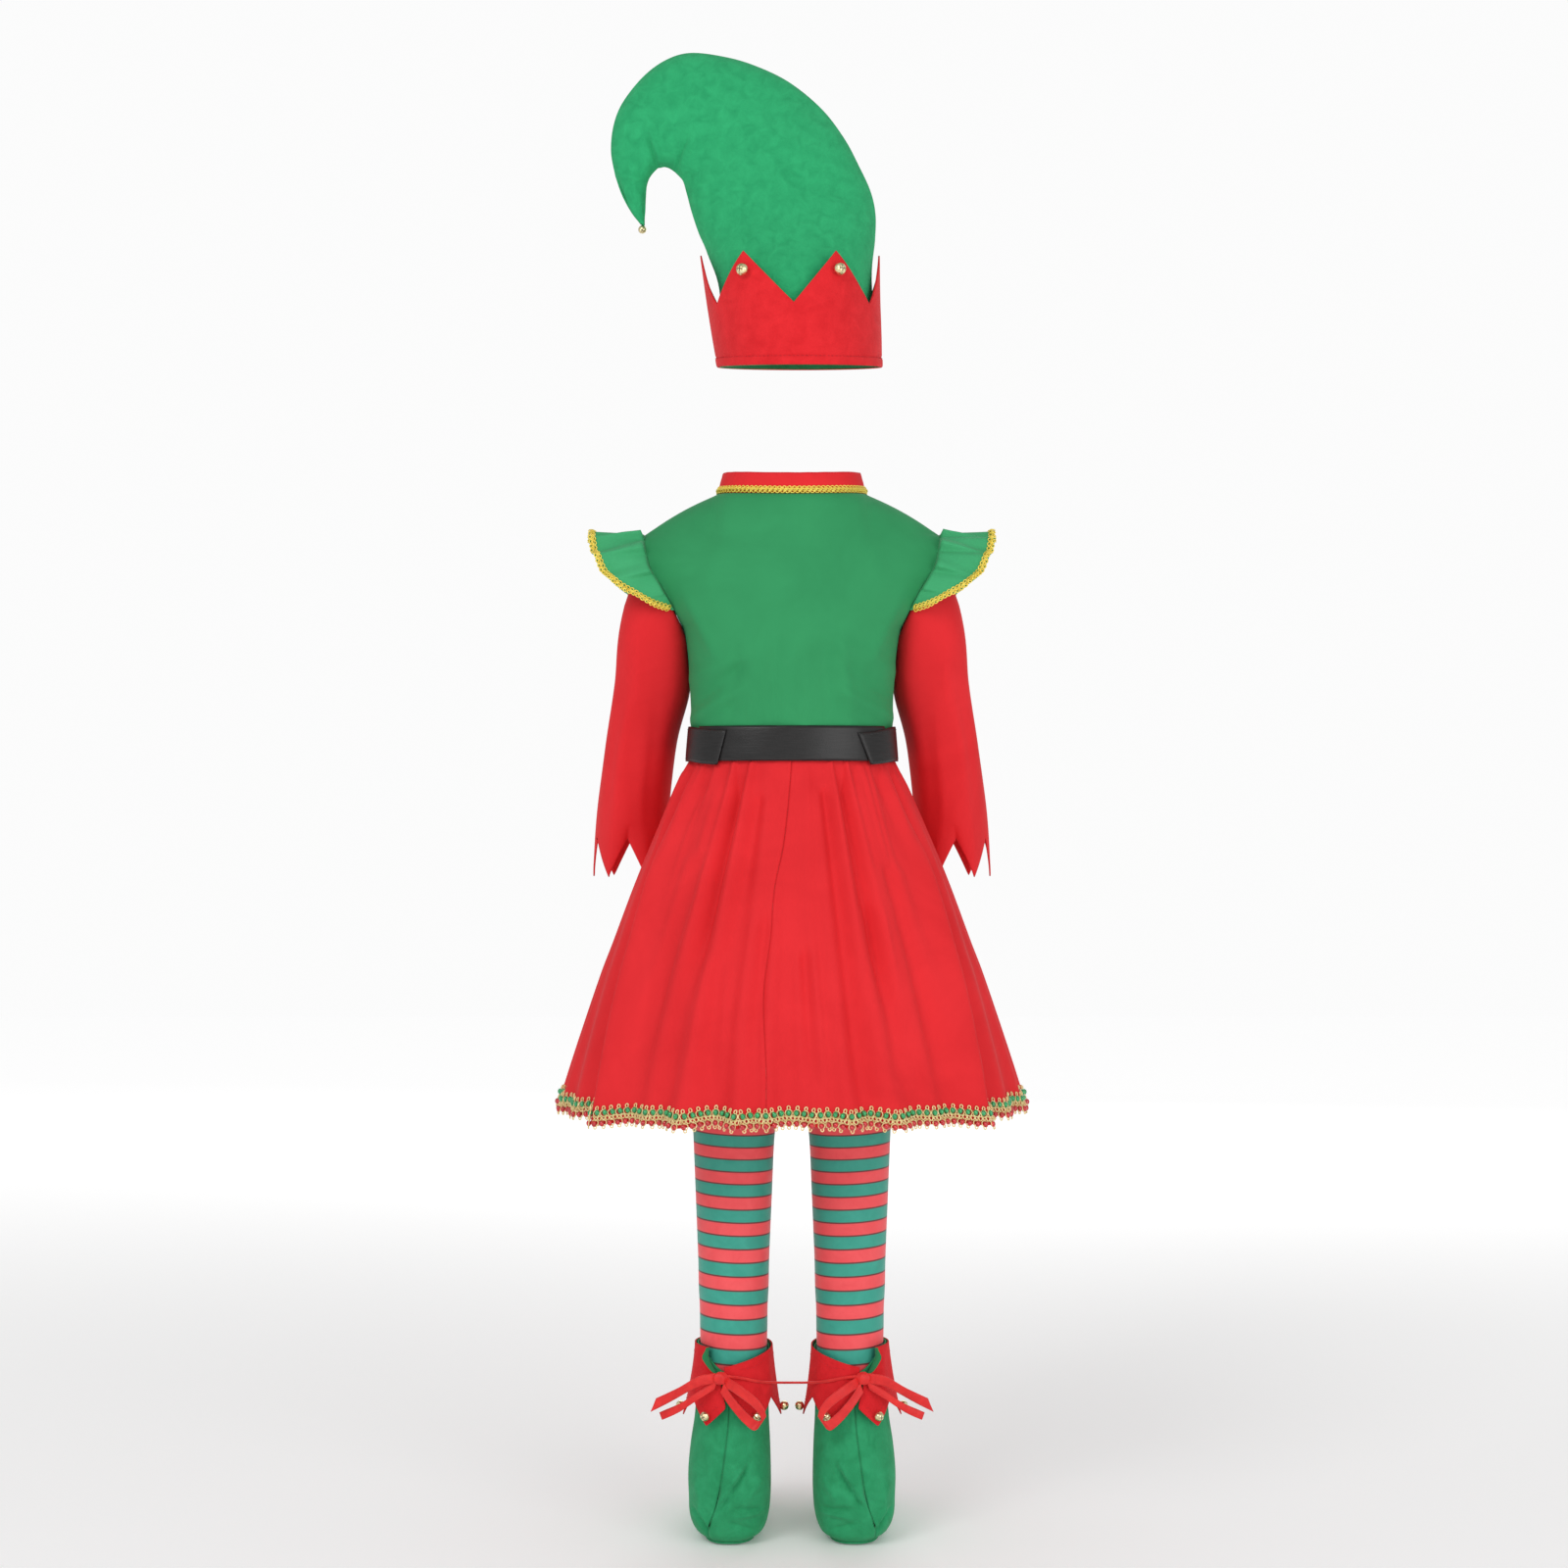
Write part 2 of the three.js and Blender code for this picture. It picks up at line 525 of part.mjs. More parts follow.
// Tights: a knitted top in two halves, sewn down the middle and under the crotch, and two legs.
function tightsTopPlace(u, v) {
  const height = lerp(CROTCH + SEAM_GAP, TIGHTS_WAIST, v);
  const top = readTable(TIGHTS_TOP, "height", height);
  const leg = readTable(LEG, "height", CROTCH);
  const share = smoothstep(height, CROTCH, LEGS_JOINED);
  const turn = lerp(-1, 1, u);
  const legX = leg.x + leg.width * Math.cos(Math.PI * turn);
  const legY = leg.back * Math.sin(Math.PI * turn);
  const topX = top.width * Math.cos((Math.PI / 2) * turn) + SEAM_GAP;
  const topY = top.deep * Math.sin((Math.PI / 2) * turn);
  return point(lerp(legX, topX, share), lerp(legY, topY, share) * 0.998, height);
}
const tightsTop = clothWall(tightsTopPlace, { columns: 14, rows: 5, thickness: KNIT });
addPair("tights_top", tightsTop, greenKnit);

function limbPlace(rows, low, high) {
  const place = (u, v) => {
    const height = lerp(low, high, v ** 1.5);
    const section = readTable(rows, "height", height);
    const { width, back, front, power } = section;
    const p = ovalPoint(2 * Math.PI * u, width, back, front, height, power);
    p.x += section.x;
    return p;
  };
  place.closed = true;
  return place;
}
const legGrid = { columns: 16, rows: 9, thickness: KNIT, foot: true };
addPair("tights_leg", clothWall(limbPlace(LEG, LEG[0].height, CROTCH), legGrid), greenKnit);

// Shoe covers: an outer and an inner half sewn down the heel and the toe, on a thin sole. The heel
// seam is open above the slit.
function shoePlace(from, to) {
  return (u, v) => {
    const height = lerp(SHOE[0].height, SHOE_TOP, v ** 1.25);
    const slit = 0.2 * smoothstep(height, SHOE_SLIT_END, SHOE_TOP);
    const section = readTable(SHOE, "height", height);
    const heelGap = HALF_GAP / section.width + slit;
    const toeGap = HALF_GAP / section.width;
    const start = from < 0 ? from + heelGap : from + toeGap;
    const end = from < 0 ? to - toeGap : to - heelGap;
    const { width, back, front, power } = section;
    const p = ovalPoint(lerp(start, end, u), width, back, front, height, power);
    p.x += section.x;
    return p;
  };
}
const shoeGrid = { columns: 8, rows: 7, thickness: CLOTH };
addPair("shoe_outer", clothWall(shoePlace(-Math.PI / 2, Math.PI / 2), shoeGrid), greenFelt);
addPair("shoe_inner", clothWall(shoePlace(Math.PI / 2, 1.5 * Math.PI), shoeGrid), greenFelt);

const soleShape = new THREE.Shape();
const soleSteps = 16;
for (let i = 0; i < soleSteps; i += 1) {
  const { width, back, front, power } = SHOE[0];
  const p = ovalPoint((2 * Math.PI * i) / soleSteps, width, back, front, 0, power);
  if (i === 0) {
    soleShape.moveTo(p.x + SHOE[0].x, p.y);
  } else {
    soleShape.lineTo(p.x + SHOE[0].x, p.y);
  }
}
soleShape.closePath();
const sole = new THREE.ExtrudeGeometry(soleShape, { depth: SOLE_THICKNESS, bevelEnabled: false });
sole.deleteAttribute("normal");
sole.deleteAttribute("uv");
addPair("shoe_sole", sole, greenFelt);

// The height of a zigzag edge: points at 30, 90 and 150 degrees on both sides of the back.
function zigzag(angle) {
  const turn = ((angle / (2 * Math.PI) + 0.25) * CUFF_POINTS + 2 * CUFF_POINTS) % 1;
  return 1 - Math.abs(2 * turn - 1);
}

// Shoe cuffs: a pointed band that falls from the top of the shoe, slit at the heel.
const SHOE_CUFF_POINT = 122;
const SHOE_CUFF_VALLEY = 146;
const SHOE_CUFF_FLARE = 10;
const CUFF_SLIT = degToRad(10);
function shoeCuffSurface(angle, height) {
  const section = readTable(SHOE, "height", height);
  const fall = (SHOE_TOP - height) / (SHOE_TOP - SHOE_CUFF_POINT);
  const lift = CLOTH + LAY_GAP + SHOE_CUFF_FLARE * clamp(fall, 0, 1) ** 1.3;
  const { width, back, front, power } = section;
  const p = ovalPoint(angle, width + lift, back + lift, front + lift, height, power);
  p.x += section.x;
  return p;
}
function shoeCuffPlace(u, v) {
  const angle = lerp(-Math.PI / 2 + CUFF_SLIT, 1.5 * Math.PI - CUFF_SLIT, u);
  const low = lerp(SHOE_CUFF_VALLEY, SHOE_CUFF_POINT, zigzag(angle));
  return shoeCuffSurface(angle, lerp(low, SHOE_TOP, v));
}
const shoeCuff = clothWall(shoeCuffPlace, { columns: 34, rows: 2, thickness: CLOTH });
addPair("shoe_cuff", shoeCuff, redCloth);

// Bells: a small closed ball on each point, just off the cloth.
function bell(surface, radius, gap = BELL_GAP) {
  const way = outwards(surface, 0.5, 0.5);
  const at = surface(0.5, 0.5).addScaledVector(way, radius + gap);
  return new THREE.SphereGeometry(radius, 7, 5).translate(at.x, at.y, at.z);
}
const around = (surface, angle, height) => (u, v) =>
  surface(angle + (u - 0.5) * 0.2, height + (v - 0.5) * 4);
const SHOE_BELL_RADIUS = 4.7;
for (let i = 0; i < CUFF_POINTS; i += 1) {
  const angle = degToRad(-60 + (360 / CUFF_POINTS) * i);
  const seat = around(shoeCuffSurface, angle, SHOE_CUFF_POINT + 8);
  const gap = Math.sin(angle) > 0.5 ? INSTEP_BELL_GAP : BELL_GAP;
  addPair(`shoe_bell_${i + 1}`, bell(seat, SHOE_BELL_RADIUS, gap), goldMetal);
}

// Ribbons: flat strips along a path, lying across its width direction.
function ribbonPlace(points, widthWay, width = RIBBON_WIDTH) {
  const path = new THREE.CatmullRomCurve3(points);
  return (u, v) => path.getPoint(u).addScaledVector(widthWay, width * (v - 0.5));
}
const KNOT = point(-71.5, -46.6, 169);
const ribbonGrid = { columns: 8, rows: 1, thickness: RIBBON };
const upright = point(0, 0, 1);
const KNOT_RADIUS = 6.5;
const knot = new THREE.SphereGeometry(KNOT_RADIUS, 8, 6);
knot.scale(1.1, 0.75, 1);
knot.translate(KNOT.x, KNOT.y, KNOT.z);
const knotSide = KNOT_RADIUS * 1.1 + SEAM_GAP;
const upperTail = [
  point(KNOT.x - 67, KNOT.y - 12, KNOT.z - 24),
  point(KNOT.x - 44, KNOT.y - 11, KNOT.z - 13),
  point(KNOT.x - 22, KNOT.y - 6, KNOT.z - 2),
  point(KNOT.x - knotSide, KNOT.y, KNOT.z),
];
const lowerTail = [
  point(KNOT.x - 60, KNOT.y - 4, KNOT.z - 37),
  point(KNOT.x - 40, KNOT.y - 4, KNOT.z - 28),
  point(KNOT.x - 20, KNOT.y - 2, KNOT.z - 15),
  point(KNOT.x - 6.6, KNOT.y, KNOT.z - 10.2),
];
const loopOut = [
  point(KNOT.x + 6.0, KNOT.y - 0.5, KNOT.z - 5.2),
  point(KNOT.x + 20, KNOT.y - 15, KNOT.z - 15),
  point(KNOT.x + 35, KNOT.y - 16, KNOT.z - 36),
  point(KNOT.x + 29, KNOT.y - 10, KNOT.z - 43),
  point(KNOT.x + 14, KNOT.y - 9, KNOT.z - 30),
  point(KNOT.x + 1.5, KNOT.y - 2, KNOT.z - KNOT_RADIUS - 5),
];
const slanted = point(0.35, 0, 1).normalize();
const longRibbon = { ...ribbonGrid, columns: 14 };
const ribbonParts = [
  ["tie_knot", knot],
  ["tie_tail_upper", clothWall(ribbonPlace(upperTail, upright), ribbonGrid)],
  ["tie_tail_lower", clothWall(ribbonPlace(lowerTail, slanted), ribbonGrid)],
  ["tie_loop", clothWall(ribbonPlace(loopOut, slanted, LOOP_WIDTH), longRibbon)],
];
for (const [name, geometry] of ribbonParts) {
  add(`${name}_left`, geometry, redRibbon);
  add(`${name}_right`, mirrored(geometry), redRibbon);
}
const linkHalf = [
  point(-64, -46.5, 171),
  point(-50, -44.4, 168.5),
  point(-38, -40, 165),
  point(-28, -33, 162),
  point(-14, -27, 160),
];
const linkPath = [...linkHalf, ...linkHalf.map((p) => point(-p.x, p.y, p.z)).reverse()];
add("tie_link", clothWall(ribbonPlace(linkPath, upright, LINK_WIDTH), longRibbon), redRibbon);

// Hat crown: a front and a back half cut to one curled profile and sewn along its edge.
const CROWN_STEPS = CROWN.map((row, step) => ({ step, ...row }));

function crownPlace(side, inset) {
  return (u, v) => {
    const section = readTable(CROWN_STEPS, "step", v * (CROWN.length - 1));
    const angle = Math.PI * u + (side < 0 ? Math.PI : 0);
    const middle = point((section.outX + section.inX) / 2, 0, (section.outZ + section.inZ) / 2);
    const chord = point(section.outX, 0, section.outZ).sub(middle);
    const reach = (chord.length() - inset) / chord.length();
    const deep = section.deep - inset;
    middle.addScaledVector(chord, Math.cos(angle) * reach);
    middle.y = deep * Math.sin(angle) + side * HALF_GAP;
    middle.z += (1 - v) ** 12 * HAT_TILT * Math.sin(angle);
    return middle;
  };
}
for (const [name, side] of [["hat_crown_front", 1], ["hat_crown_back", -1]]) {
  const grid = { columns: 8, rows: 18, inner: crownPlace(side, CLOTH) };
  add(name, clothWall(crownPlace(side, 0), grid), greenFelt);
}

// Hat cuff: a turned-up band with six points, seated round the brim of the crown.
function hatCuffSurface(angle, rise) {
  const section = readTable(HAT_CUFF, "rise", rise);
  const p = ovalPoint(angle, section.width, section.deep, section.deep, HAT_BRIM + rise);
  p.z += HAT_TILT * Math.sin(angle);
  p.x += section.shift;
  return p;
}
function hatCuffPlace(u, v) {
  const angle = 2 * Math.PI * u;
  return hatCuffSurface(angle, lerp(0, lerp(HAT_VALLEY, HAT_PEAK, zigzag(angle)), v));
}
hatCuffPlace.closed = true;
add("hat_cuff", clothWall(hatCuffPlace, { columns: 36, rows: 3, thickness: CLOTH }), redCloth);
const HAT_BELL_RADIUS = 6;
const TIP_BELL_RADIUS = 4;
const HAT_TIP = { x: -152.5, z: 1335 };
const HAT_BELLS = [
  ["back_left", -120],
  ["back_right", -60],
  ["front_left", 120],
  ["front_right", 60],
];
for (const [name, degrees] of HAT_BELLS) {
  const seat = around(hatCuffSurface, degToRad(degrees), HAT_PEAK - 20);
  add(`hat_bell_${name}`, bell(seat, HAT_BELL_RADIUS), goldMetal);
}
const tipBell = new THREE.SphereGeometry(TIP_BELL_RADIUS, 7, 5);
tipBell.translate(HAT_TIP.x, 0, HAT_TIP.z - TIP_BELL_RADIUS - SEAM_GAP);
add("hat_bell_tip", tipBell, goldMetal);

export default costume;
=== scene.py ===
# An elf costume, worn: curled felt hat, dress, belt, striped tights and shoe covers.
import math

import bmesh
import bpy
import numpy as np
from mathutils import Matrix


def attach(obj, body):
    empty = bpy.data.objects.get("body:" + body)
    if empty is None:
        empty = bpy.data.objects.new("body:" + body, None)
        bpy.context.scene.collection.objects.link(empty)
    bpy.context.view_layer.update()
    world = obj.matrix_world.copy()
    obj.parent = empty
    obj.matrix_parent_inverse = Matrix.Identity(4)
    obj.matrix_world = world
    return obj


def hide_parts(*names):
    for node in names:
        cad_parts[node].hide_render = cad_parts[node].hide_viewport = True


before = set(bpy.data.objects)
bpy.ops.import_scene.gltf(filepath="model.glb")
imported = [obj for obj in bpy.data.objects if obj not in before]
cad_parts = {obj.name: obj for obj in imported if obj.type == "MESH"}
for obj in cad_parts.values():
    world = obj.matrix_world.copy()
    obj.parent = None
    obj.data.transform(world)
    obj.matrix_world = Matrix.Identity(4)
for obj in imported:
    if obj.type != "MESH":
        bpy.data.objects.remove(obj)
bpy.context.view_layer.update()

# Camera and light. The costume is seen from behind, level with the skirt's waist, on a pale floor
# in soft white light. Sizes on the body are in millimetres above the floor, as a maker measures.
NECK = 1060
MM = 0.001
CAMERA_DISTANCE = 2.7
CAMERA_HEIGHT = 765
CAMERA_SIDE = -0.008
PHOTO_SPAN = 1.6
SENSOR = 36


def add(name, data):
    """Puts a new object into the scene."""
    made = bpy.data.objects.new(name, data)
    bpy.context.scene.collection.objects.link(made)
    return made


camera_data = bpy.data.cameras.new("camera")
camera_data.sensor_width = SENSOR
camera_data.lens = SENSOR * CAMERA_DISTANCE / PHOTO_SPAN
camera = add("camera", camera_data)
camera.location = (CAMERA_SIDE, -CAMERA_DISTANCE, (CAMERA_HEIGHT - NECK) * MM)
camera.rotation_euler = (math.radians(90), 0, 0)
bpy.context.scene.camera = camera


def fill(tree, target, inputs):
    """Sets a node's inputs, each to a value or to another node's output."""
    for key, value in inputs.items():
        socket = target.inputs[key]
        if isinstance(value, bpy.types.NodeSocket):
            tree.links.new(value, socket)
        else:
            socket.default_value = value


def node(tree, kind, inputs=None, **settings):
    """Adds a node with its properties and its inputs."""
    new = tree.nodes.new(kind)
    for key, value in settings.items():
        setattr(new, key, value)
    fill(tree, new, inputs or {})
    return new


def start_material(name):
    made = bpy.data.materials.new(name)
    made.use_nodes = True
    return made, made.node_tree, made.node_tree.nodes["Principled BSDF"]


# How bright the white room is as a light, and as the camera sees it
ROOM_LIGHT, ROOM_SEEN = 0.56, 0.97
world = bpy.data.worlds.new("studio")
world.use_nodes = True
tree = world.node_tree
seen = node(tree, "ShaderNodeLightPath").outputs["Is Camera Ray"]
level = node(tree, "ShaderNodeMapRange", {"Value": seen, "To Min": ROOM_LIGHT, "To Max": ROOM_SEEN})
fill(tree, tree.nodes["Background"], {"Color": (1, 1, 1, 1), "Strength": level.outputs[0]})
bpy.context.scene.world = world
bpy.context.scene.view_settings.view_transform = "Standard"


def area_light(name, place, target, size, power):
    data = bpy.data.lights.new(name, "AREA")
    data.size = size
    data.energy = power
    light = add(name, data)
    light.location = place
    way = [b - a for a, b in zip(place, target)]
    yaw = math.atan2(way[1], way[0]) - math.pi / 2
    pitch = math.atan2(way[2], math.hypot(way[0], way[1])) + math.pi / 2
    light.rotation_euler = (pitch, 0, yaw)


MIDDLE = (0, 0, -0.35)
area_light("key", (-1.4, -2.3, 1.3), MIDDLE, 1.3, 28)
area_light("fill", (1.7, -2.5, 0.1), MIDDLE, 2.0, 25)
area_light("front", (0.4, 2.8, 1.0), MIDDLE, 2.5, 24)

# The floor glows more with the distance, so that its far edge meets the backdrop in one white
FLOOR_HALF = 6
FLOOR_DROP = -NECK * MM - 0.001
GLOW = {"From Min": 1.0, "From Max": 4.2, "To Min": 0.08, "To Max": 0.46}
corners = [(-1, -1), (1, -1), (1, 1), (-1, 1)]
floor_mesh = bpy.data.meshes.new("floor")
floor_mesh.from_pydata([(x * FLOOR_HALF, y * FLOOR_HALF, FLOOR_DROP) for x, y in corners], [],
                       [(0, 1, 2, 3)])
floor = add("floor", floor_mesh)
floor_material, tree, shader = start_material("floor")
place = node(tree, "ShaderNodeTexCoord").outputs["Object"]
away = node(tree, "ShaderNodeVectorMath", {0: place}, operation="LENGTH").outputs["Value"]
glow = node(tree, "ShaderNodeMapRange", {"Value": away, **GLOW}, interpolation_type="SMOOTHSTEP")
fill(tree, shader, {"Base Color": (0.9, 0.9, 0.9, 1), "Roughness": 0.9, "Specular IOR Level": 0.2,
                    "Emission Color": (1, 1, 1, 1), "Emission Strength": glow.outputs[0]})
floor_mesh.materials.append(floor_material)

# Skirt. Red brushed polyester, three flared panels gathered into the waist seam: two behind, joined
# by a centre back seam, and one in front. The folds start at the gathers and grow towards the hem.
WAIST = 792
BELT_BOTTOM = 788
BELT_TOP = 823
HEM = 440
CLOTH = 1.5
SKIRT = {
    "height": [430, 461, 505, 574, 603, 675, 740, 775, 792],
    "width": [238, 229, 215, 192, 181, 155, 128, 112, 103],
    "back": [197, 188, 176, 158, 147, 124, 101, 87, 80],
    "front": [190, 181, 170, 152, 143, 121, 101, 88, 82],
}
# Long folds, in degrees from the centre back: half widths towards and away from it, rise, how far
# the crest leans sideways, how late the fold starts and how far it moves outwards higher up
FOLDS = {
    "at": [5, 12.5, 23.5, 34, 47, 62, 78, 96, 113, 130, 146, 160, 173],
    "near": [2.4, 3.0, 4.2, 4.2, 7.0, 5.5, 5, 6, 5, 6, 5, 4.5, 3.5],
    "far": [2.8, 3.4, 4.6, 3.8, 2.6, 6.5, 5, 6, 5, 6, 5, 4.5, 3.5],
    "rise": [5, 7.5, 10, 6, 15, 7, 7, 9, 7, 10, 7, 9, 7],
    "lean": [0.5, 1.0, 2.4, 0.8, 7.0, 0.5, 0.8, 1.5, 1, 2, 1, 1, 0],
    "late": [1.3, 1.4, 1.3, 1.2, 0.8, 0.8, 0.9, 0.7, 0.9, 0.7, 0.9, 0.7, 0.9],
    "drift": [0, 0, 0, 3, 12, 10, 6, 0, 0, 0, 0, 0, 0],
}
GATHERS = 24
# The left side's folds lie a little off the right side's, in degrees
LEFT_SHIFT = [0.6, -0.8, 1.6, 1.0, 1.2, 1.5, -1, 1, -1, 1, 0, 1, 0]
# Grooves between the upper folds: degrees at their top and foot, right of the centre back, then
# heights at top and foot, half width in degrees and depth
GROOVES = [
    (-26, -29, 795, 560, 2.6, 6.5), (24.5, 25, 795, 545, 2.3, 6.5), (15, 15, 765, 450, 2.2, 3.2),
    (-15, -17, 760, 620, 2.6, 2.4), (-49, -51, 795, 725, 2.6, 4.0), (49, 50, 795, 725, 2.6, 4.0),
    (3.5, 5, 610, 440, 1.3, 3.2), (27, 24.5, 650, 440, 2.0, 3.0), (-38, -41, 700, 500, 3.0, 3.0),
    (38, 40, 690, 480, 3.0, 3.4), (-8, -11, 640, 470, 2.0, 2.2), (64, 62, 795, 690, 3, 3.5),
    (-66, -64, 795, 680, 3, 3.5), (-22, -21, 600, 450, 1.6, 2.0), (33, 33, 795, 745, 2.0, 2.4),
    (-37, -38, 795, 750, 2.0, 2.4),
]
# The centre back seam wanders a little to the left of the middle, in degrees by height
SEAM_LINE = {"height": [440, 491, 563, 617, 666, 706, 792], "turn": [-5.4, -5.8, -7.6, -6.4, -5.5, -3, 0]}


def along(rows, key, name, value):
    """Reads one column of a table on a smooth curve through its rows."""
    x = np.asarray(rows[key], float)
    y = np.asarray(rows[name], float)
    last = len(x) - 1
    k = np.clip(np.searchsorted(x, value, side="right") - 1, 0, last - 1)
    before = np.maximum(np.arange(last + 1) - 1, 0)
    after = np.minimum(np.arange(last + 1) + 1, last)
    slope = (y[after] - y[before]) / (x[after] - x[before])
    span = x[k + 1] - x[k]
    t = np.clip((value - x[k]) / span, 0, 1)
    ends = (2 * t**3 - 3 * t**2 + 1) * y[k] + (3 * t**2 - 2 * t**3) * y[k + 1]
    return ends + ((t**3 - 2 * t**2 + t) * slope[k] + (t**3 - t**2) * slope[k + 1]) * span


def oval(angle, width, back, front, power=2.0):
    """The x and y of a rounded oval at an angle, anticlockwise from +x."""
    cos = np.cos(angle)
    sin = np.sin(angle)
    deep = np.where(sin < 0, back, front)
    x = width * np.sign(cos) * np.abs(cos) ** (2 / power)
    return x, deep * np.sign(sin) * np.abs(sin) ** (2 / power)


def section(rows, angle, high, lift=0.0, power=2.0):
    """The x and y of a piece at a height, from its table of half widths and depths."""
    part = {name: along(rows, "height", name, high) for name in rows if name != "height"}
    x, y = oval(angle, part["width"] + lift, part["back"] + lift, part["front"] + lift,
                part.get("power", power))
    return x + part.get("x", 0), y


def hump(value, at, half):
    """A bell curve, 1 at its middle."""
    return np.exp(-(((value - at) / half) ** 2))


def smooth(value, low, high):
    """Goes from 0 at low to 1 at high on a soft step."""
    t = np.clip((value - low) / (high - low), 0, 1)
    return t * t * (3 - 2 * t)


def mix(a, b, t):
    return a + (b - a) * t


def unit(vectors):
    return vectors / np.maximum(np.linalg.norm(vectors, axis=-1, keepdims=True), 1e-9)


def outwards(points, closed):
    """Unit normals of a grid of points, whose rows go up and whose columns go anticlockwise."""
    if closed:
        wide = np.concatenate([points[:, -1:], points, points[:, :1]], axis=1)
        across = wide[:, 2:] - wide[:, :-2]
    else:
        across = np.gradient(points, axis=1)
    return unit(np.cross(across, np.gradient(points, axis=0)))


def circle(count):
    """Even angles round a circle."""
    return np.arange(count) * 2 * math.pi / count


def grid(columns, rows, closed=False):
    """The u and v of a grid; a closed grid leaves out the last column, which is the first again."""
    u = np.arange(columns if closed else columns + 1) / columns
    v = np.arange(rows + 1) / rows
    return np.meshgrid(u, v)


def ripple(u, v, seed, count, width, length, size):
    """Soft random troughs and ridges: count of them on the unit square, each width by length."""
    draw = np.random.RandomState(seed)
    total = np.zeros_like(u)
    for _ in range(count):
        cu, cv = draw.rand(2)
        turn = draw.uniform(-0.5, 0.5)
        du = (u - cu) + turn * (v - cv) * width / length
        dv = v - cv
        scale = draw.uniform(0.6, 1.4)
        total += draw.uniform(-1, 1) * hump(du, 0, width * scale) * hump(dv, 0, length * scale)
    return total * size


def weld(mesh):
    """Joins the points of a pole, where a whole row of a grid lies in one place."""
    work = bmesh.new()
    work.from_mesh(mesh)
    bmesh.ops.remove_doubles(work, verts=work.verts, dist=1e-6)
    work.to_mesh(mesh)
    work.free()


def to_frame(points):
    """From millimetres above the floor to metres from the neck."""
    return (points - np.array([0, 0, NECK])) * MM


def quads(values):
    """The four corners of every square of a grid, in order round it."""
    return np.stack([values[:-1, :-1], values[:-1, 1:], values[1:, 1:], values[1:, :-1]], axis=2)


def steps(points, axis=0):
    """The distances between neighbouring points."""
    return np.linalg.norm(np.diff(points, axis=axis), axis=-1)


def cloth_piece(name, points, thickness, material, held, closed=False,
                pole=False, flat=None, inside=None):
    """A cloth shell on a grid of points, in place of the solid of the same name. Its thickness
    goes to the inside, which may have a material of its own."""
    rows, columns = points.shape[:2]
    mesh = bpy.data.meshes.new(name)
    index = np.arange(rows * columns).reshape(rows, columns)
    looped = points
    if closed:
        index, looped = (np.concatenate([part, part[:, :1]], axis=1) for part in (index, points))
    mesh.from_pydata(to_frame(points).reshape(-1, 3).tolist(), [], quads(index).reshape(-1, 4).tolist())
    u = np.concatenate([np.zeros((rows, 1)), np.cumsum(steps(looped, 1) * MM, axis=1)], axis=1)
    v = np.concatenate([np.zeros((1, looped.shape[1])), np.cumsum(steps(looped) * MM, axis=0)], axis=0)
    place = quads(np.stack([u - u[:, -1:] / 2, v], axis=-1))
    mesh.uv_layers.new(name="cloth").data.foreach_set("uv", place.reshape(-1).tolist())
    for layer in (material, inside):
        if layer:
            mesh.materials.append(layer)
    if pole:
        weld(mesh)
    mesh.polygons.foreach_set("use_smooth", [True] * len(mesh.polygons))
    piece = add(name, mesh)
    if thickness:
        wall = piece.modifiers.new("wall", "SOLIDIFY")
        wall.thickness = thickness * MM
        wall.offset = -1
        wall.material_offset = len(mesh.materials) - 1
    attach(piece, "root")
    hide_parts(name)
    if held:
        flat = flat or (float(u[:, -1].max()), float(v[-1].max()))
    return piece


def new_group(name, inputs, outputs, kind="ShaderNodeTree"):
    """A node group with named inputs (name, socket type, value) and outputs (name, socket type)."""
    tree = bpy.data.node_groups.new(name, kind)
    for label, socket, value in inputs:
        item = tree.interface.new_socket(label, in_out="INPUT", socket_type=socket)
        if value is not None:
            item.default_value = value
    for label, socket in outputs:
        tree.interface.new_socket(label, in_out="OUTPUT", socket_type=socket)
    return tree, tree.nodes.new("NodeGroupInput"), tree.nodes.new("NodeGroupOutput")


def maths(tree, operation, *values):
    return node(tree, "ShaderNodeMath", dict(enumerate(values)), operation=operation).outputs[0]


# Cloth grain: fine fibres in the height, and soft mottling in the shade
grain, grain_in, grain_out = new_group(
    "cloth grain",
    [("Vector", "NodeSocketVector", None), ("Fibre Scale", "NodeSocketFloat", 700.0),
     ("Mottle Scale", "NodeSocketFloat", 22.0), ("Pile", "NodeSocketFloat", 0.5)],
    [("Height", "NodeSocketFloat"), ("Mottle", "NodeSocketFloat")],
)
fibres = node(grain, "ShaderNodeTexNoise", {
    "Vector": grain_in.outputs["Vector"], "Scale": grain_in.outputs["Fibre Scale"], "Detail": 3.0,
    "Roughness": 0.7})
clumps = node(grain, "ShaderNodeTexNoise", {
    "Vector": grain_in.outputs["Vector"], "Scale": grain_in.outputs["Mottle Scale"], "Detail": 5.0,
    "Roughness": 0.6, "Distortion": 0.6})
nap = maths(grain, "MULTIPLY", clumps.outputs["Fac"], grain_in.outputs["Pile"])
fill(grain, grain_out, {"Height": maths(grain, "ADD", fibres.outputs["Fac"], nap),
                        "Mottle": clumps.outputs["Fac"]})


def between(tree, factor, dark, light):
    """A colour that goes from dark to light with a factor; each may be a colour or a socket."""
    dark, light = ((*tone, 1) if isinstance(tone, tuple) else tone for tone in (dark, light))
    return node(tree, "ShaderNodeMix", {"Factor": factor, "A": dark, "B": light},
                data_type="RGBA").outputs["Result"]


def bumped(tree, height, strength, distance):
    return node(tree, "ShaderNodeBump", {"Height": height, "Strength": strength,
                                         "Distance": distance}).outputs["Normal"]


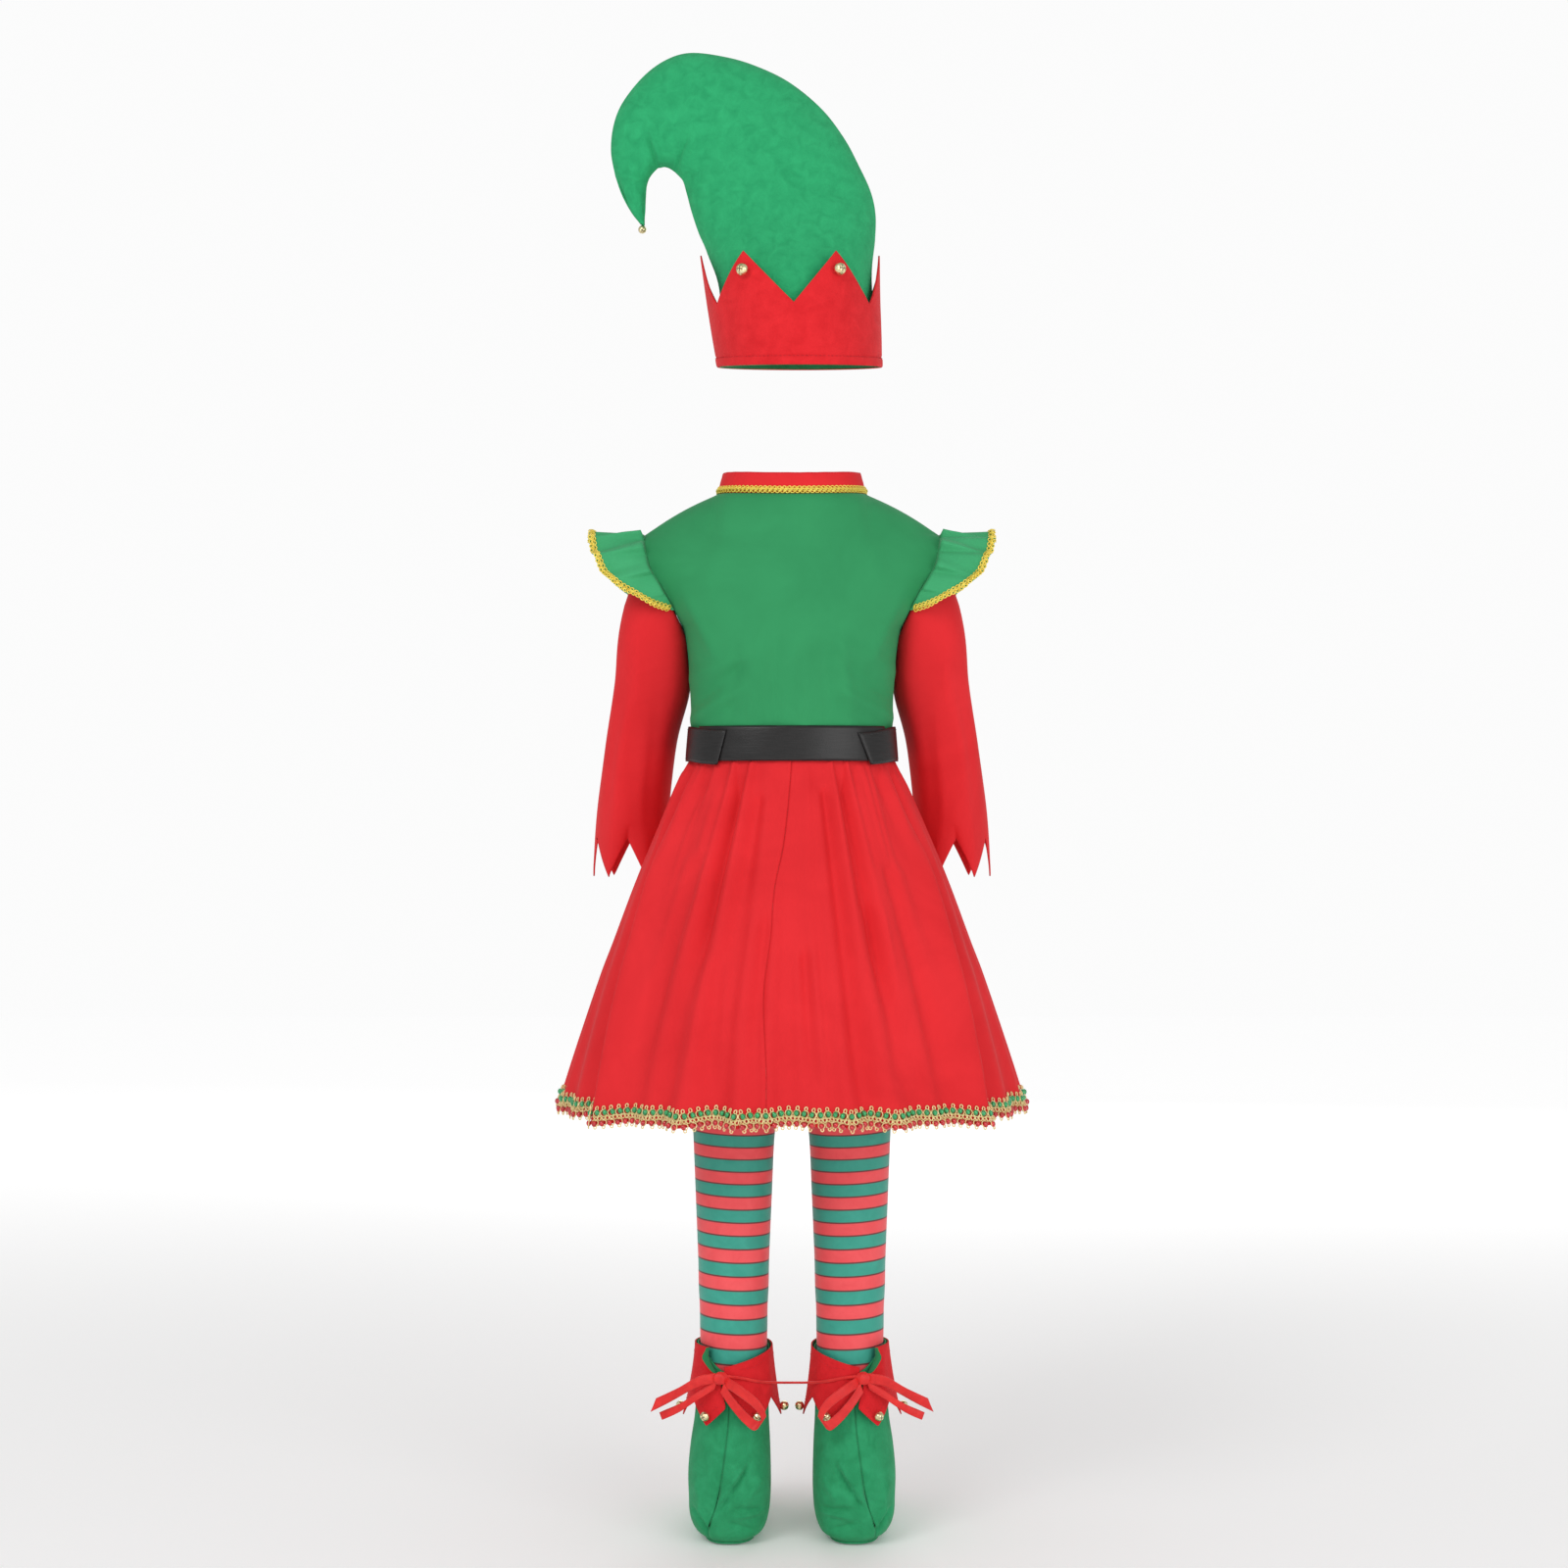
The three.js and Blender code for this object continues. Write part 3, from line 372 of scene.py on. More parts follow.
def grained_material(name, light, dark, fibre, mottle, pile, contrast, relief, finish):
    """Coloured between dark and light by its mottling, with its grain in relief."""
    made, tree, shader = start_material(name)
    place = node(tree, "ShaderNodeTexCoord").outputs["Object"]
    texture = node(tree, "ShaderNodeGroup", {"Vector": place, "Fibre Scale": fibre,
                   "Mottle Scale": mottle, "Pile": pile}, node_tree=grain).outputs
    shade = node(tree, "ShaderNodeMapRange", {"Value": texture["Mottle"], "From Min": 0.5 - contrast,
                                              "From Max": 0.5 + contrast}).outputs[0]
    fill(tree, shader, {"Base Color": between(tree, shade, dark, light),
                        "Normal": bumped(tree, texture["Height"], *relief), **finish})
    return made


def cloth_material(name, light, dark, roughness, sheen, fibre, mottle, pile, bump):
    """A napped or smooth cloth."""
    tint = (*[0.6 + 0.4 * c for c in light], 1)
    return grained_material(name, light, dark, fibre, mottle, pile, 0.2, (bump, 0.0006), {
        "Roughness": roughness, "Specular IOR Level": 0.3, "Sheen Weight": sheen,
        "Sheen Roughness": 0.45, "Sheen Tint": tint})


red_cloth = cloth_material("red cloth", (0.76, 0.018, 0.024), (0.66, 0.011, 0.016), 0.78, 0.03,
                           900, 9, 0.3, 0.18)


def skirt_points(angle, high):
    """Skirt surface at angles from +x and heights, with its gathers and long folds."""
    x, y = section(SKIRT, angle, high, power=2.1)
    signed = (np.degrees(angle) + 90 + 180) % 360 - 180
    degrees = np.abs(signed)
    fall = np.clip((BELT_BOTTOM - high) / (BELT_BOTTOM - HEM), 0, 1.02)
    rise = np.zeros_like(x)
    lean = np.zeros_like(x)
    for k, (at, near, far, size, tip, late, drift) in enumerate(zip(*FOLDS.values())):
        outward = drift * np.clip((high - HEM) / 215, 0, 1.2)
        across = degrees - (at + np.where(signed < 0, LEFT_SHIFT[k], 0) + outward)
        bump = hump(across, 0, np.where(across < 0, near, far)) * fall**late
        rise += size * bump
        lean += tip * bump * np.sign(signed)
    for top_turn, foot_turn, top, foot, half, depth in GROOVES:
        share = np.clip((top - high) / (top - foot), 0, 1)
        across = (signed - mix(top_turn, foot_turn, share)) / (half * (1 + 0.3 * share))
        size = depth * smooth(high, foot - 20, foot + 70) * smooth(-high, -top - 1, -top + 14)
        rise -= size * hump(across, 0, 1) - 0.35 * size * np.exp(-((np.abs(across) - 1.9) ** 2) / 0.6)
    gather = np.clip((BELT_BOTTOM - high) / 16, 0, 12)
    small = np.sin(GATHERS * angle) * gather * np.exp(1 - gather)
    out = unit(np.stack([x, y, np.zeros_like(x)], axis=-1))
    side = np.stack([-out[..., 1], out[..., 0], 0 * x], axis=-1)
    lift = 1.7 * rise - 9 * fall**0.7 + small + uneven_gathers(angle, high)
    # Below the belt the cloth stays clear of the tights
    lift = np.maximum(lift, -0.32 * np.clip(BELT_BOTTOM - high, 0, 200))
    sag = 0.45 * (rise - 4) * fall**2
    return np.stack([x, y, high - sag], axis=-1) + out * lift[..., None] + side * lean[..., None]


def uneven_gathers(angle, high):
    """Small gathers of uneven width and length, that fade out below the belt."""
    draw = np.random.RandomState(11)
    total = np.zeros_like(angle + high)
    for _ in range(52):
        at = draw.uniform(-math.pi, math.pi)
        half = draw.uniform(0.025, 0.06)
        length = draw.uniform(40, 170)
        size = draw.uniform(0.8, 2.8)
        drop = np.clip((BELT_BOTTOM - high) / length, 0, 9)
        turn = (angle - at + math.pi) % (2 * math.pi) - math.pi
        total += size * hump(turn, 0, half) * np.minimum(drop * 6, 1) * hump(drop, 0, 0.9)
    return total - 1.4 * smooth(high, 600, 760) * smooth(-high, -BELT_BOTTOM, -BELT_BOTTOM + 10)


SEAM = 0.0004
for name, start, end, columns, rows in (
        ("skirt_back_left", -180, -90, 180, 64), ("skirt_back_right", -90, 0, 180, 64),
        ("skirt_front", 0, 180, 210, 48)):
    u, v = grid(columns, rows)
    high = mix(HEM, WAIST, 1 - (1 - v) ** 1.3)
    middle = np.radians(along(SEAM_LINE, "height", "turn", high))
    from_turn = np.radians(start) + SEAM + (middle if start == -90 else 0)
    to_turn = np.radians(end) - SEAM + (middle if end == -90 else 0)
    edge = np.minimum(u, 1 - u) * (end - start)
    seam = 0.4 * hump(edge, 0, 0.3) - 0.25 * hump(edge, 1.2, 0.6)
    points = skirt_points(mix(from_turn, to_turn, u), high)
    points = points - outwards(points, False) * seam[..., None]
    cloth_piece(name, points, CLOTH, red_cloth, "gathered")

# Bodice. Plain green polyester, a back and a front sewn at the shoulders and below the arms. It is
# smooth on the shoulders, with soft drag lines that run in from both sides above the belt.
NECK_POINT, NECK_BACK, NECK_FRONT = 1060, 1055, 1040
SHOULDER_TIP, UNDERARM = 1018, 925
NECK_WIDTH, NECK_DEPTH, SHOULDER_WIDTH = 75, 62, 151
ARMHOLE_MIDDLE, ARMHOLE_HEIGHT, ARMHOLE_DEPTH = 971.5, 46.5, 42
TORSO = {
    "height": [780, 823, 865, 900, 925, 962, 985, 1018],
    "width": [103.5, 102.5, 104, 106.5, 112, 131, 144, 151],
    "back": [80, 81, 86, 90, 91, 90, 87, 82],
    "front": [82, 82, 84, 87, 89, 90, 88, 84],
}
TORSO_POWER = 2.3
green_cloth = cloth_material("green cloth", (0.028, 0.292, 0.104), (0.021, 0.248, 0.086), 0.78, 0.04,
                             1000, 10, 0.25, 0.15)


def bodice_points(u, v, side):
    angle = math.pi * u + (math.pi if side < 0 else 0)
    cos = np.cos(angle)
    sideways = np.sign(cos) * np.abs(cos) ** (2 / TORSO_POWER)
    deepness = np.abs(np.sin(angle)) ** (2 / TORSO_POWER)
    reach = np.abs(sideways) * SHOULDER_WIDTH
    in_neck = np.clip(reach / NECK_WIDTH, 0, 1)
    on_shoulder = np.clip((reach - NECK_WIDTH) / (SHOULDER_WIDTH - NECK_WIDTH), 0, 1)
    top = mix(NECK_BACK if side < 0 else NECK_FRONT, NECK_POINT, in_neck**2) - 42 * on_shoulder
    top = top + 3 * np.sin(math.pi * on_shoulder)
    upper = (v - 0.4) / 0.6
    climb = mix(np.maximum(upper, 0), (1 - np.cos(math.pi * np.maximum(upper, 0))) / 2, 0.5)
    high = np.where(upper > 0, mix(UNDERARM, top, climb), WAIST + 0.3 + (UNDERARM - WAIST - 0.3) * v / 0.4)
    deep = along(TORSO, "height", "back" if side < 0 else "front", high)
    neck_deep = NECK_DEPTH * np.sqrt(1 - in_neck**2)
    closing = np.clip((high - UNDERARM) / (top - UNDERARM), 0, 1)
    panel = neck_deep + (deep - neck_deep) * (1 - closing**2.4) ** (1 / 2.4)
    arm = np.clip((high - ARMHOLE_MIDDLE) / ARMHOLE_HEIGHT, -1, 1)
    arm = ARMHOLE_DEPTH * np.sqrt(1 - arm**2)
    x = along(TORSO, "height", "width", high) * sideways
    return np.stack([x, side * (arm * (1 - deepness) ** 2.5 + panel * deepness + 0.15), high], axis=-1)


def drag_lines(x, z, lines):
    """Troughs and ridges, each along a line: x, z, dx, dz, half width and rise."""
    total = np.zeros_like(x)
    for x0, z0, dx, dz, half, rise in lines:
        length = math.hypot(dx, dz)
        s = ((x - x0) * dx + (z - z0) * dz) / length**2
        off = ((x - x0) * dz - (z - z0) * dx) / length
        total += rise * hump(np.maximum(np.abs(s - 0.5) - 0.35, 0), 0, 0.28) * hump(off, 0, half)
    return total


# Drag lines of the back: soft pulls above the belt, and from the armholes down
BACK_LINES = [
    (-96, 832, 44, 26, 6, 2.4), (-92, 850, 40, 30, 5, -1.8), (-98, 872, 52, 20, 7, 1.6),
    (96, 834, -46, 22, 6, 2.2), (94, 856, -40, 26, 5, -1.8), (98, 880, -50, 24, 7, 1.4),
    (-40, 830, 6, 62, 8, 1.7), (-18, 828, 2, 84, 8, -1.3), (12, 828, -2, 74, 9, 1.6),
    (38, 830, -7, 66, 8, -1.5), (58, 832, -8, 70, 7, 1.5), (-62, 834, 8, 60, 7, -1.4),
    (-104, 950, 26, -52, 7, 1.8), (106, 948, -26, -54, 7, 1.8), (-70, 1010, -18, -60, 12, 1.2),
    (72, 1012, 18, -58, 12, 1.2),
]
for name, side in (("bodice_back", -1), ("bodice_front", 1)):
    u, v = grid(96, 84)
    points = bodice_points(u, v, side)
    high = points[..., 2]
    still = smooth(u, 0, 0.05) * smooth(1 - u, 0, 0.05) * smooth(1 - v, 0, 0.12)
    relief = 1.7 * drag_lines(points[..., 0] * side * -1, high, BACK_LINES)
    relief += ripple(u, (high - WAIST) / (NECK_POINT - WAIST), 5 + side, 26, 0.08, 0.25, 0.8)
    seam = 0.7 * hump(np.minimum(u, 1 - u), 0, 0.006)
    points = points + outwards(points, False) * (relief * still - seam)[..., None]
    cloth_piece(name, points, CLOTH, green_cloth, "stretched")

# Collar and neck braid. A low red stand sewn to the neckline, in double cloth, with a gold looped
# braid sewn round its foot.
COLLAR_HEIGHT = 20


def collar_points(angle, rise):
    x, y = oval(angle, NECK_WIDTH, NECK_DEPTH, NECK_DEPTH)
    foot = mix(np.where(y < 0, NECK_BACK, NECK_FRONT), NECK_POINT, (x / NECK_WIDTH) ** 2) + 1.3
    lean = 1 - 0.06 * rise / COLLAR_HEIGHT - 0.03 * smooth(-rise, -1.6, 0.4)
    return np.stack([x * lean, y * lean, foot + rise], axis=-1)


u, v = grid(160, 10, True)
angle = 2 * math.pi * u
points = collar_points(angle, mix(-4, COLLAR_HEIGHT, v))
fat = 0.5 * np.sin(math.pi * v) ** 0.5 - 0.35 * hump(v, 0.84, 0.05)
fat = fat + 0.25 * np.sin(17 * angle + 2 * np.sin(5 * angle)) * v
points = points + outwards(points, True) * fat[..., None]
cloth_piece("collar", points, CLOTH, red_cloth, "stretched", closed=True)

# Sleeves. Red polyester, flared from the elbow to a hem of six points, with soft folds down
# their length. Their head is sewn into the armhole.
SLEEVE = {
    "step": [0, 0.24, 0.48, 0.68, 0.86, 1],
    "x": [171, 167, 157.5, 147, 142.5, 131.5],
    "y": [92, 80, 54, 27, 5, 0],
    "z": [668, 735, 804, 863, 917, 971.5],
    "out": [40, 39, 37.5, 36.5, 32.5, 19.5],
    "rise": [0, 0, 1, 4, 14, 46.5],
    "deep": [41, 40, 39, 39, 39, 42],
}
SLEEVE_HEM_POINTS, SLEEVE_HEM_RISE = 6, 40
SLEEVE_CUT = (0.258, 0.363)
SIDES = {"right": 1, "left": -1}


def handed(points, side, closed=False, drawn="right"):
    """A grid drawn on one side of the body, mirrored for the other with its columns still
    anticlockwise."""
    if side == drawn:
        return points
    points = points[:, ::-1] * [-1, 1, 1]
    return np.roll(points, 1, axis=1) if closed else points


def sleeve_points(u, v, folds):
    angle = 2 * math.pi * u
    pointed = np.abs((SLEEVE_HEM_POINTS * u) % 1 * 2 - 1)
    hem_rise = (1 - pointed) * SLEEVE_HEM_RISE * np.maximum(1 - 5 * v, 0)
    part = {name: along(SLEEVE, "step", name, v) for name in SLEEVE}
    boxy = 2 / (2 + 0.7 * smooth(v, 0.25, 0.5) * smooth(1 - v, 0, 0.2))
    cos, sin = (np.sign(way) * np.abs(way) ** boxy for way in (np.cos(angle), np.sin(angle)))
    x = part["x"] + (part["out"] + folds) * cos
    z = part["z"] + part["rise"] * np.cos(angle) + hem_rise
    # The inner side lies against the bodice
    inner = np.clip(-cos, 0, 1)
    x -= 6.5 * inner * hump(z, 868, 38)
    x -= 4.2 * inner * hump(z, 927, 26) * smooth(1 - v, 0, 0.05)
    body = along(TORSO, "height", "width", np.clip(z, UNDERARM, SHOULDER_TIP)) + 0.6
    y = part["y"] + (part["deep"] + folds) * sin
    return np.stack([mix(x, body, smooth(v, 0.9, 1)), y, z], axis=-1)


u, v = grid(144, 52, True)
angle = 2 * math.pi * u
for side, way in SIDES.items():
    turn = 0.35 * way
    folds = 1.3 * np.sin(4 * angle + 2.2 * v + turn) * (1 - v)
    folds += 0.5 * np.sin(7 * angle - 3 * v + turn) * np.sin(math.pi * v)
    for at, drift, half, late in ((4.2, 0.9, 0.16, 1.1), (5.3, -0.5, 0.2, 1.15)):
        folds += 1.8 * hump(angle, at + drift * v, half) * np.sin(math.pi * np.clip(v * late, 0, 1))
    folds = (folds - 1.4) * smooth(1 - v, 0, 0.3)
    points = handed(sleeve_points(u, v * 0.985, folds), side, True)
    cloth_piece(f"sleeve_{side}", points, CLOTH, red_cloth, "hung", closed=True,
                flat=SLEEVE_CUT)

# Flutter caps. Green gathered ruffles sewn into the armholes over the sleeves, widest on the
# shoulder. Their wavy outer edge carries the gold braid.
REACH = math.radians(128)
RUFFLE_WIDTH = 56


def ruffle_points(angle, v, gathers):
    low = smooth(np.abs(angle), math.radians(80), REACH)
    root = 0.6 + 4.2 * low
    cos, sin = np.cos(angle), np.sin(angle)
    high = ARMHOLE_MIDDLE + (ARMHOLE_HEIGHT + root) * cos
    x = along(TORSO, "height", "width", np.clip(high, UNDERARM, SHOULDER_TIP)) - 0.6
    width = mix(RUFFLE_WIDTH, 2, (np.abs(angle) / REACH) ** 3.5)
    spread = np.where(angle > 0, 0.5, 0.32) * (1 + low)
    out = unit(np.stack([1 + 0 * angle, spread * sin, -0.26 * np.abs(sin) + 0.02], axis=-1))
    share = width / RUFFLE_WIDTH
    wave = 5 * (1 + np.cos(9 * math.pi * angle / REACH)) * v * share
    wave = wave + gathers * (0.25 + 0.75 * share)
    droop = 7 * v * hump(angle, 0, 0.5)
    points = np.stack([x, (ARMHOLE_DEPTH + root) * sin, high - droop], axis=-1)
    points = points + out * (width * v)[..., None]
    return points + np.stack([0 * angle, sin, cos], axis=-1) * wave[..., None]


# Pleats at the armhole, in degrees from the shoulder, and their height
PLEATS = ((-104, 2.8), (-79, 4.4), (-51, 5.0), (-24, 4.4), (6, 1.2), (34, 4.2), (63, 4.6), (92, 3.4))
flutter_cloth = cloth_material("flutter cloth", (0.054, 0.40, 0.165), (0.040, 0.345, 0.138), 0.78, 0.1,
                               1000, 12, 0.25, 0.15)
ruffles = {}
u, v = grid(240, 16)
angle = mix(REACH, -REACH, u)
for side, way in SIDES.items():
    gathers = 0.5 * np.sin(31 * math.pi * u + 3 * np.sin(7 * u + way)) * (1 - v)
    for at, size in PLEATS:
        across = (np.degrees(angle) - at - 3 * way) / 9
        pleat = hump(across, 0, np.where(across > 0, 1.7, 0.28))
        fade = smooth(v, 0, 0.05) * (1 - 0.75 * smooth(v, 0.3, 1)) * 2 / (1 + v)
        gathers = gathers + size * pleat * fade
    ruffles[side] = handed(ruffle_points(angle, v, gathers), side)
    cloth_piece(f"ruffle_{side}", ruffles[side], 1.0, flutter_cloth, "gathered")

# Small repeated pieces. A geometry node tree sets one motif on every station: its Z points out of
# the cloth and its X along the row. Braid loops, beads and stitches are all made with it.
repeat, repeat_in, repeat_out = new_group(
    "repeat on stations",
    [("Stations", "NodeSocketGeometry", None), ("Motif", "NodeSocketObject", None),
     ("Material", "NodeSocketMaterial", None), ("Size", "NodeSocketFloat", 1.0)],
    [("Geometry", "NodeSocketGeometry")], "GeometryNodeTree",
)
out_way = node(repeat, "GeometryNodeInputNamedAttribute", {"Name": "out"}, data_type="FLOAT_VECTOR")
row_way = node(repeat, "GeometryNodeInputNamedAttribute", {"Name": "along"}, data_type="FLOAT_VECTOR")
turned = node(repeat, "FunctionNodeAxesToRotation", {"Primary Axis": out_way.outputs["Attribute"],
              "Secondary Axis": row_way.outputs["Attribute"]}, primary_axis="Z", secondary_axis="X")
motif_info = node(repeat, "GeometryNodeObjectInfo", {"Object": repeat_in.outputs["Motif"]})
placed = node(repeat, "GeometryNodeInstanceOnPoints", {"Points": repeat_in.outputs["Stations"],
              "Instance": motif_info.outputs["Geometry"], "Rotation": turned.outputs[0],
              "Scale": repeat_in.outputs["Size"]})
real = node(repeat, "GeometryNodeRealizeInstances", {"Geometry": placed.outputs["Instances"]})
painted = node(repeat, "GeometryNodeSetMaterial", {"Geometry": real.outputs["Geometry"],
               "Material": repeat_in.outputs["Material"]})
fill(repeat, repeat_out, {"Geometry": painted.outputs["Geometry"]})


def tube_motif(name, paths, radius, sides=6):
    """Round threads along paths in millimetres, each with whether it is closed."""
    mesh = bmesh.new()
    for path, closed in paths:
        path = np.asarray(path, float)
        count = len(path)
        if closed:
            way = np.roll(path, -1, axis=0) - np.roll(path, 1, axis=0)
        else:
            way = np.gradient(path, axis=0)
        way = unit(way)
        side = unit(np.cross(way, [0.03, 0.05, 1.0]))
        up = np.cross(side, way)
        rings = []
        for k in range(count):
            ring = []
            for j in range(sides):
                a = 2 * math.pi * j / sides
                at = path[k] + radius * (math.cos(a) * side[k] + math.sin(a) * up[k])
                ring.append(mesh.verts.new(tuple(at * MM)))
            rings.append(ring)
        for k in range(count if closed else count - 1):
            one, two = rings[k], rings[(k + 1) % count]
            for j in range(sides):
                mesh.faces.new((one[j], one[(j + 1) % sides], two[(j + 1) % sides], two[j]))
        if not closed:
            mesh.faces.new(rings[0][::-1])
            mesh.faces.new(rings[-1])
    bmesh.ops.recalc_face_normals(mesh, faces=mesh.faces)
    return motif_object(name, mesh)


def motif_object(name, mesh):
    """Makes an object of a worked mesh, with smooth faces."""
    data = bpy.data.meshes.new(name)
    for face in mesh.faces:
        face.smooth = True
    mesh.to_mesh(data)
    mesh.free()
    return add(name, data)


def set_along(name, stations, motif, material, replaces=False, size=1.0):
    """One piece with a motif on every station: points, ways out and ways along, in millimetres."""
    place, out, way = stations
    mesh = bpy.data.meshes.new(name)
    mesh.from_pydata(to_frame(place).tolist(), [], [])
    for label, values in (("out", out), ("along", way)):
        layer = mesh.attributes.new(label, "FLOAT_VECTOR", "POINT")
        layer.data.foreach_set("vector", np.ascontiguousarray(values, dtype=float).reshape(-1))
    piece = add(name, mesh)
    modifier = piece.modifiers.new("repeat", "NODES")
    modifier.node_group = repeat
    given = {"Motif": motif, "Material": material, "Size": size}
    for item in repeat.interface.items_tree:
        if item.in_out == "INPUT" and item.name in given:
            modifier[item.identifier] = given[item.name]
    ready = piece.evaluated_get(bpy.context.evaluated_depsgraph_get())
    piece.data = bpy.data.meshes.new_from_object(ready)
    piece.modifiers.clear()
    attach(piece, "root")
    if replaces:
        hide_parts(name)


def read_at(distance, run, values):
    """Reads a row of vectors at distances along it."""
    return np.stack([np.interp(distance, run, values[:, k]) for k in range(3)], axis=-1)


def stations_on(path, normals, pitch, closed, shift=0.0):
    """Evenly spaced places on a row of points, with the way out and the way along at each."""
    if closed:
        path, normals = (np.concatenate([row, row[:1]]) for row in (path, normals))
    run = np.concatenate([[0], np.cumsum(steps(path))])
    count = max(int(round(run[-1] / pitch)), 1)
    at = (np.arange(count) + 0.5) / count * run[-1]
    out = unit(read_at(at, run, normals))
    ahead = read_at(np.minimum(at + 0.3 * pitch, run[-1]), run, path)
    behind = read_at(np.maximum(at - 0.3 * pitch, 0), run, path)
    return read_at(at, run, path) + out * shift, out, unit(ahead - behind)


def remove(*objects):
    for thing in objects:
        bpy.data.objects.remove(thing, do_unlink=True)


# Gold braid and thread. Metallic yellow-gold yarn, in rows of small overlapping loops, sewn on
# the edge of the flutter caps and round the neck.
BRAID_PITCH = 4.9


def metal_material(name, light, dark, roughness, metallic, scale, bump):
    return grained_material(name, light, dark, scale, scale * 0.25, 0.5, 0.15, (bump, 0.0003),
                            {"Roughness": roughness, "Metallic": metallic})


gold_yarn = metal_material("gold yarn", (1.0, 0.84, 0.16), (0.84, 0.60, 0.06), 0.38, 0.15, 1400, 0.4)


def ring_path(width, length, count, tilt):
    """A slanted loop lying in the XY plane, with a little over and under at its crossing."""
    return [(width * math.cos(a) + tilt * math.sin(a), length * math.sin(a), 0.45 * math.cos(a))
            for a in circle(count)]


braid_loop = tube_motif("braid loop", [
    (ring_path(2.7, 3.5, 12, 1.1), True), (ring_path(1.0, 1.7, 8, -0.5), True)], 0.62, 5)
braid_core = tube_motif("braid core", [
    ([(-2.4, -1.8, 0.3), (-0.9, 0.7, 1.0), (0.9, -0.7, 1.0), (2.4, 1.8, 0.3)], False)], 0.7, 5)


def braid(name, core, path, normals, closed, lift):
    """A row of loops, and a core thread a little further out."""
    for label, motif, rise in ((name, braid_loop, lift), (core, braid_core, lift + 0.2)):
        stations = stations_on(path, normals, BRAID_PITCH, closed, rise)
        set_along(label, stations, motif, gold_yarn, label == name)


for side, points in ruffles.items():
    width = np.linalg.norm(points[-1] - points[0], axis=1)
    inset = np.minimum(2.6, width * 0.4)[:, None]
    middle = slice(3, -3)
    path = (points[-1] + unit(points[0] - points[-1]) * inset)[middle]
    normals = outwards(points, False)[-2][middle]
    braid(f"ruffle_braid_{side}", f"ruffle_braid_core_{side}", path, normals, False, 0.9)

angle = circle(420)
normals = outwards(np.stack([collar_points(angle, 1.8), collar_points(angle, 6.0)]), True)[0]
braid("neck_braid", "neck_braid_core", collar_points(angle, 2.2), normals, True, 1.1)
remove(braid_loop, braid_core)

# Belt. Black imitation leather with a soft sheen and a fine lengthwise grain: a strip across the
# back, and a front strip whose two ends lap over it.
BELT_BACKING = 2.0
BELT_PITCH = 4.2


def belt_points(start, end, u, v, lift, tilt):
    slant = (1 - v) * (1 if lift else 0)
    angle = np.radians(mix(start + 8 * slant, end - 5 * slant, u))
    back = -np.sin(angle)
    sink = tilt * (1 + 0.7 * (np.cos(angle) > 0) * v) * smooth(back, 0.3, 0.85)
    high = mix(BELT_BOTTOM, BELT_TOP, v) - sink
    x, y = section(TORSO, angle, high, power=TORSO_POWER)
    stand = mix(3.4, 1.4, v) + BELT_BACKING + lift * smooth(back, 0.05, 0.35)
    return np.stack([x, y, high], axis=-1) + unit(np.stack([x, y, 0 * x], axis=-1)) * stand[..., None]


belt_leather, tree, shader = start_material("black belt")
place = node(tree, "ShaderNodeTexCoord").outputs["Object"]
pulled = node(tree, "ShaderNodeMapping", {"Vector": place, "Scale": (60, 60, 900)}).outputs["Vector"]
lines = node(tree, "ShaderNodeTexNoise", {"Vector": pulled, "Scale": 1.0, "Detail": 4.0}).outputs["Fac"]
pores = node(tree, "ShaderNodeTexVoronoi", {"Vector": place, "Scale": 900.0}).outputs["Distance"]
shade = node(tree, "ShaderNodeMapRange", {"Value": lines, "From Min": 0.3, "From Max": 0.7}).outputs[0]
fill(tree, shader, {
    "Base Color": between(tree, shade, (0.007, 0.0065, 0.0065), (0.015, 0.014, 0.014)),
    "Normal": bumped(tree, maths(tree, "ADD", lines, pores), 0.25, 0.0004),
    "Roughness": 0.36, "Specular IOR Level": 0.4})

for name, start, end, columns, lift, tilt in (
        ("belt_back", -150, -30, 90, 0, 0), ("belt_front", -56, 236, 200, 2.9, 4)):
    u, v = grid(columns, 12)
    points = belt_points(start, end, u, v, lift, tilt)
    crown = 0.55 * (1 - (2 * v - 1) ** 4) + ripple(u, v, 21, 18, 0.05, 0.6, 0.35)
    turn = end - start
    edge = 0.8 * (np.exp(-u * turn) + np.exp(-(1 - u) * turn)) if lift else 0
    points = points + outwards(points, False) * (crown - 0.5 - edge)[..., None]
    cloth_piece(name, points, 1.6, belt_leather, "laid")
black_thread = cloth_material("black thread", (0.05, 0.05, 0.05), (0.02, 0.02, 0.02), 0.6, 0.1,
                              3000, 300, 0.3, 0.3)
stitch = tube_motif("stitch", [([
    (-1.2, 0, -0.25), (-0.7, 0, 0.12), (0, 0, 0.2), (0.7, 0, 0.12), (1.2, 0, -0.25)], False)], 0.26, 5)
normals = outwards(points, False)
for k, row in ((1, 1), (2, -2)):
    stations = stations_on(points[row], normals[row], BELT_PITCH, False, 0.08)
    set_along(f"belt_stitches_{k}", stations, stitch, black_thread)

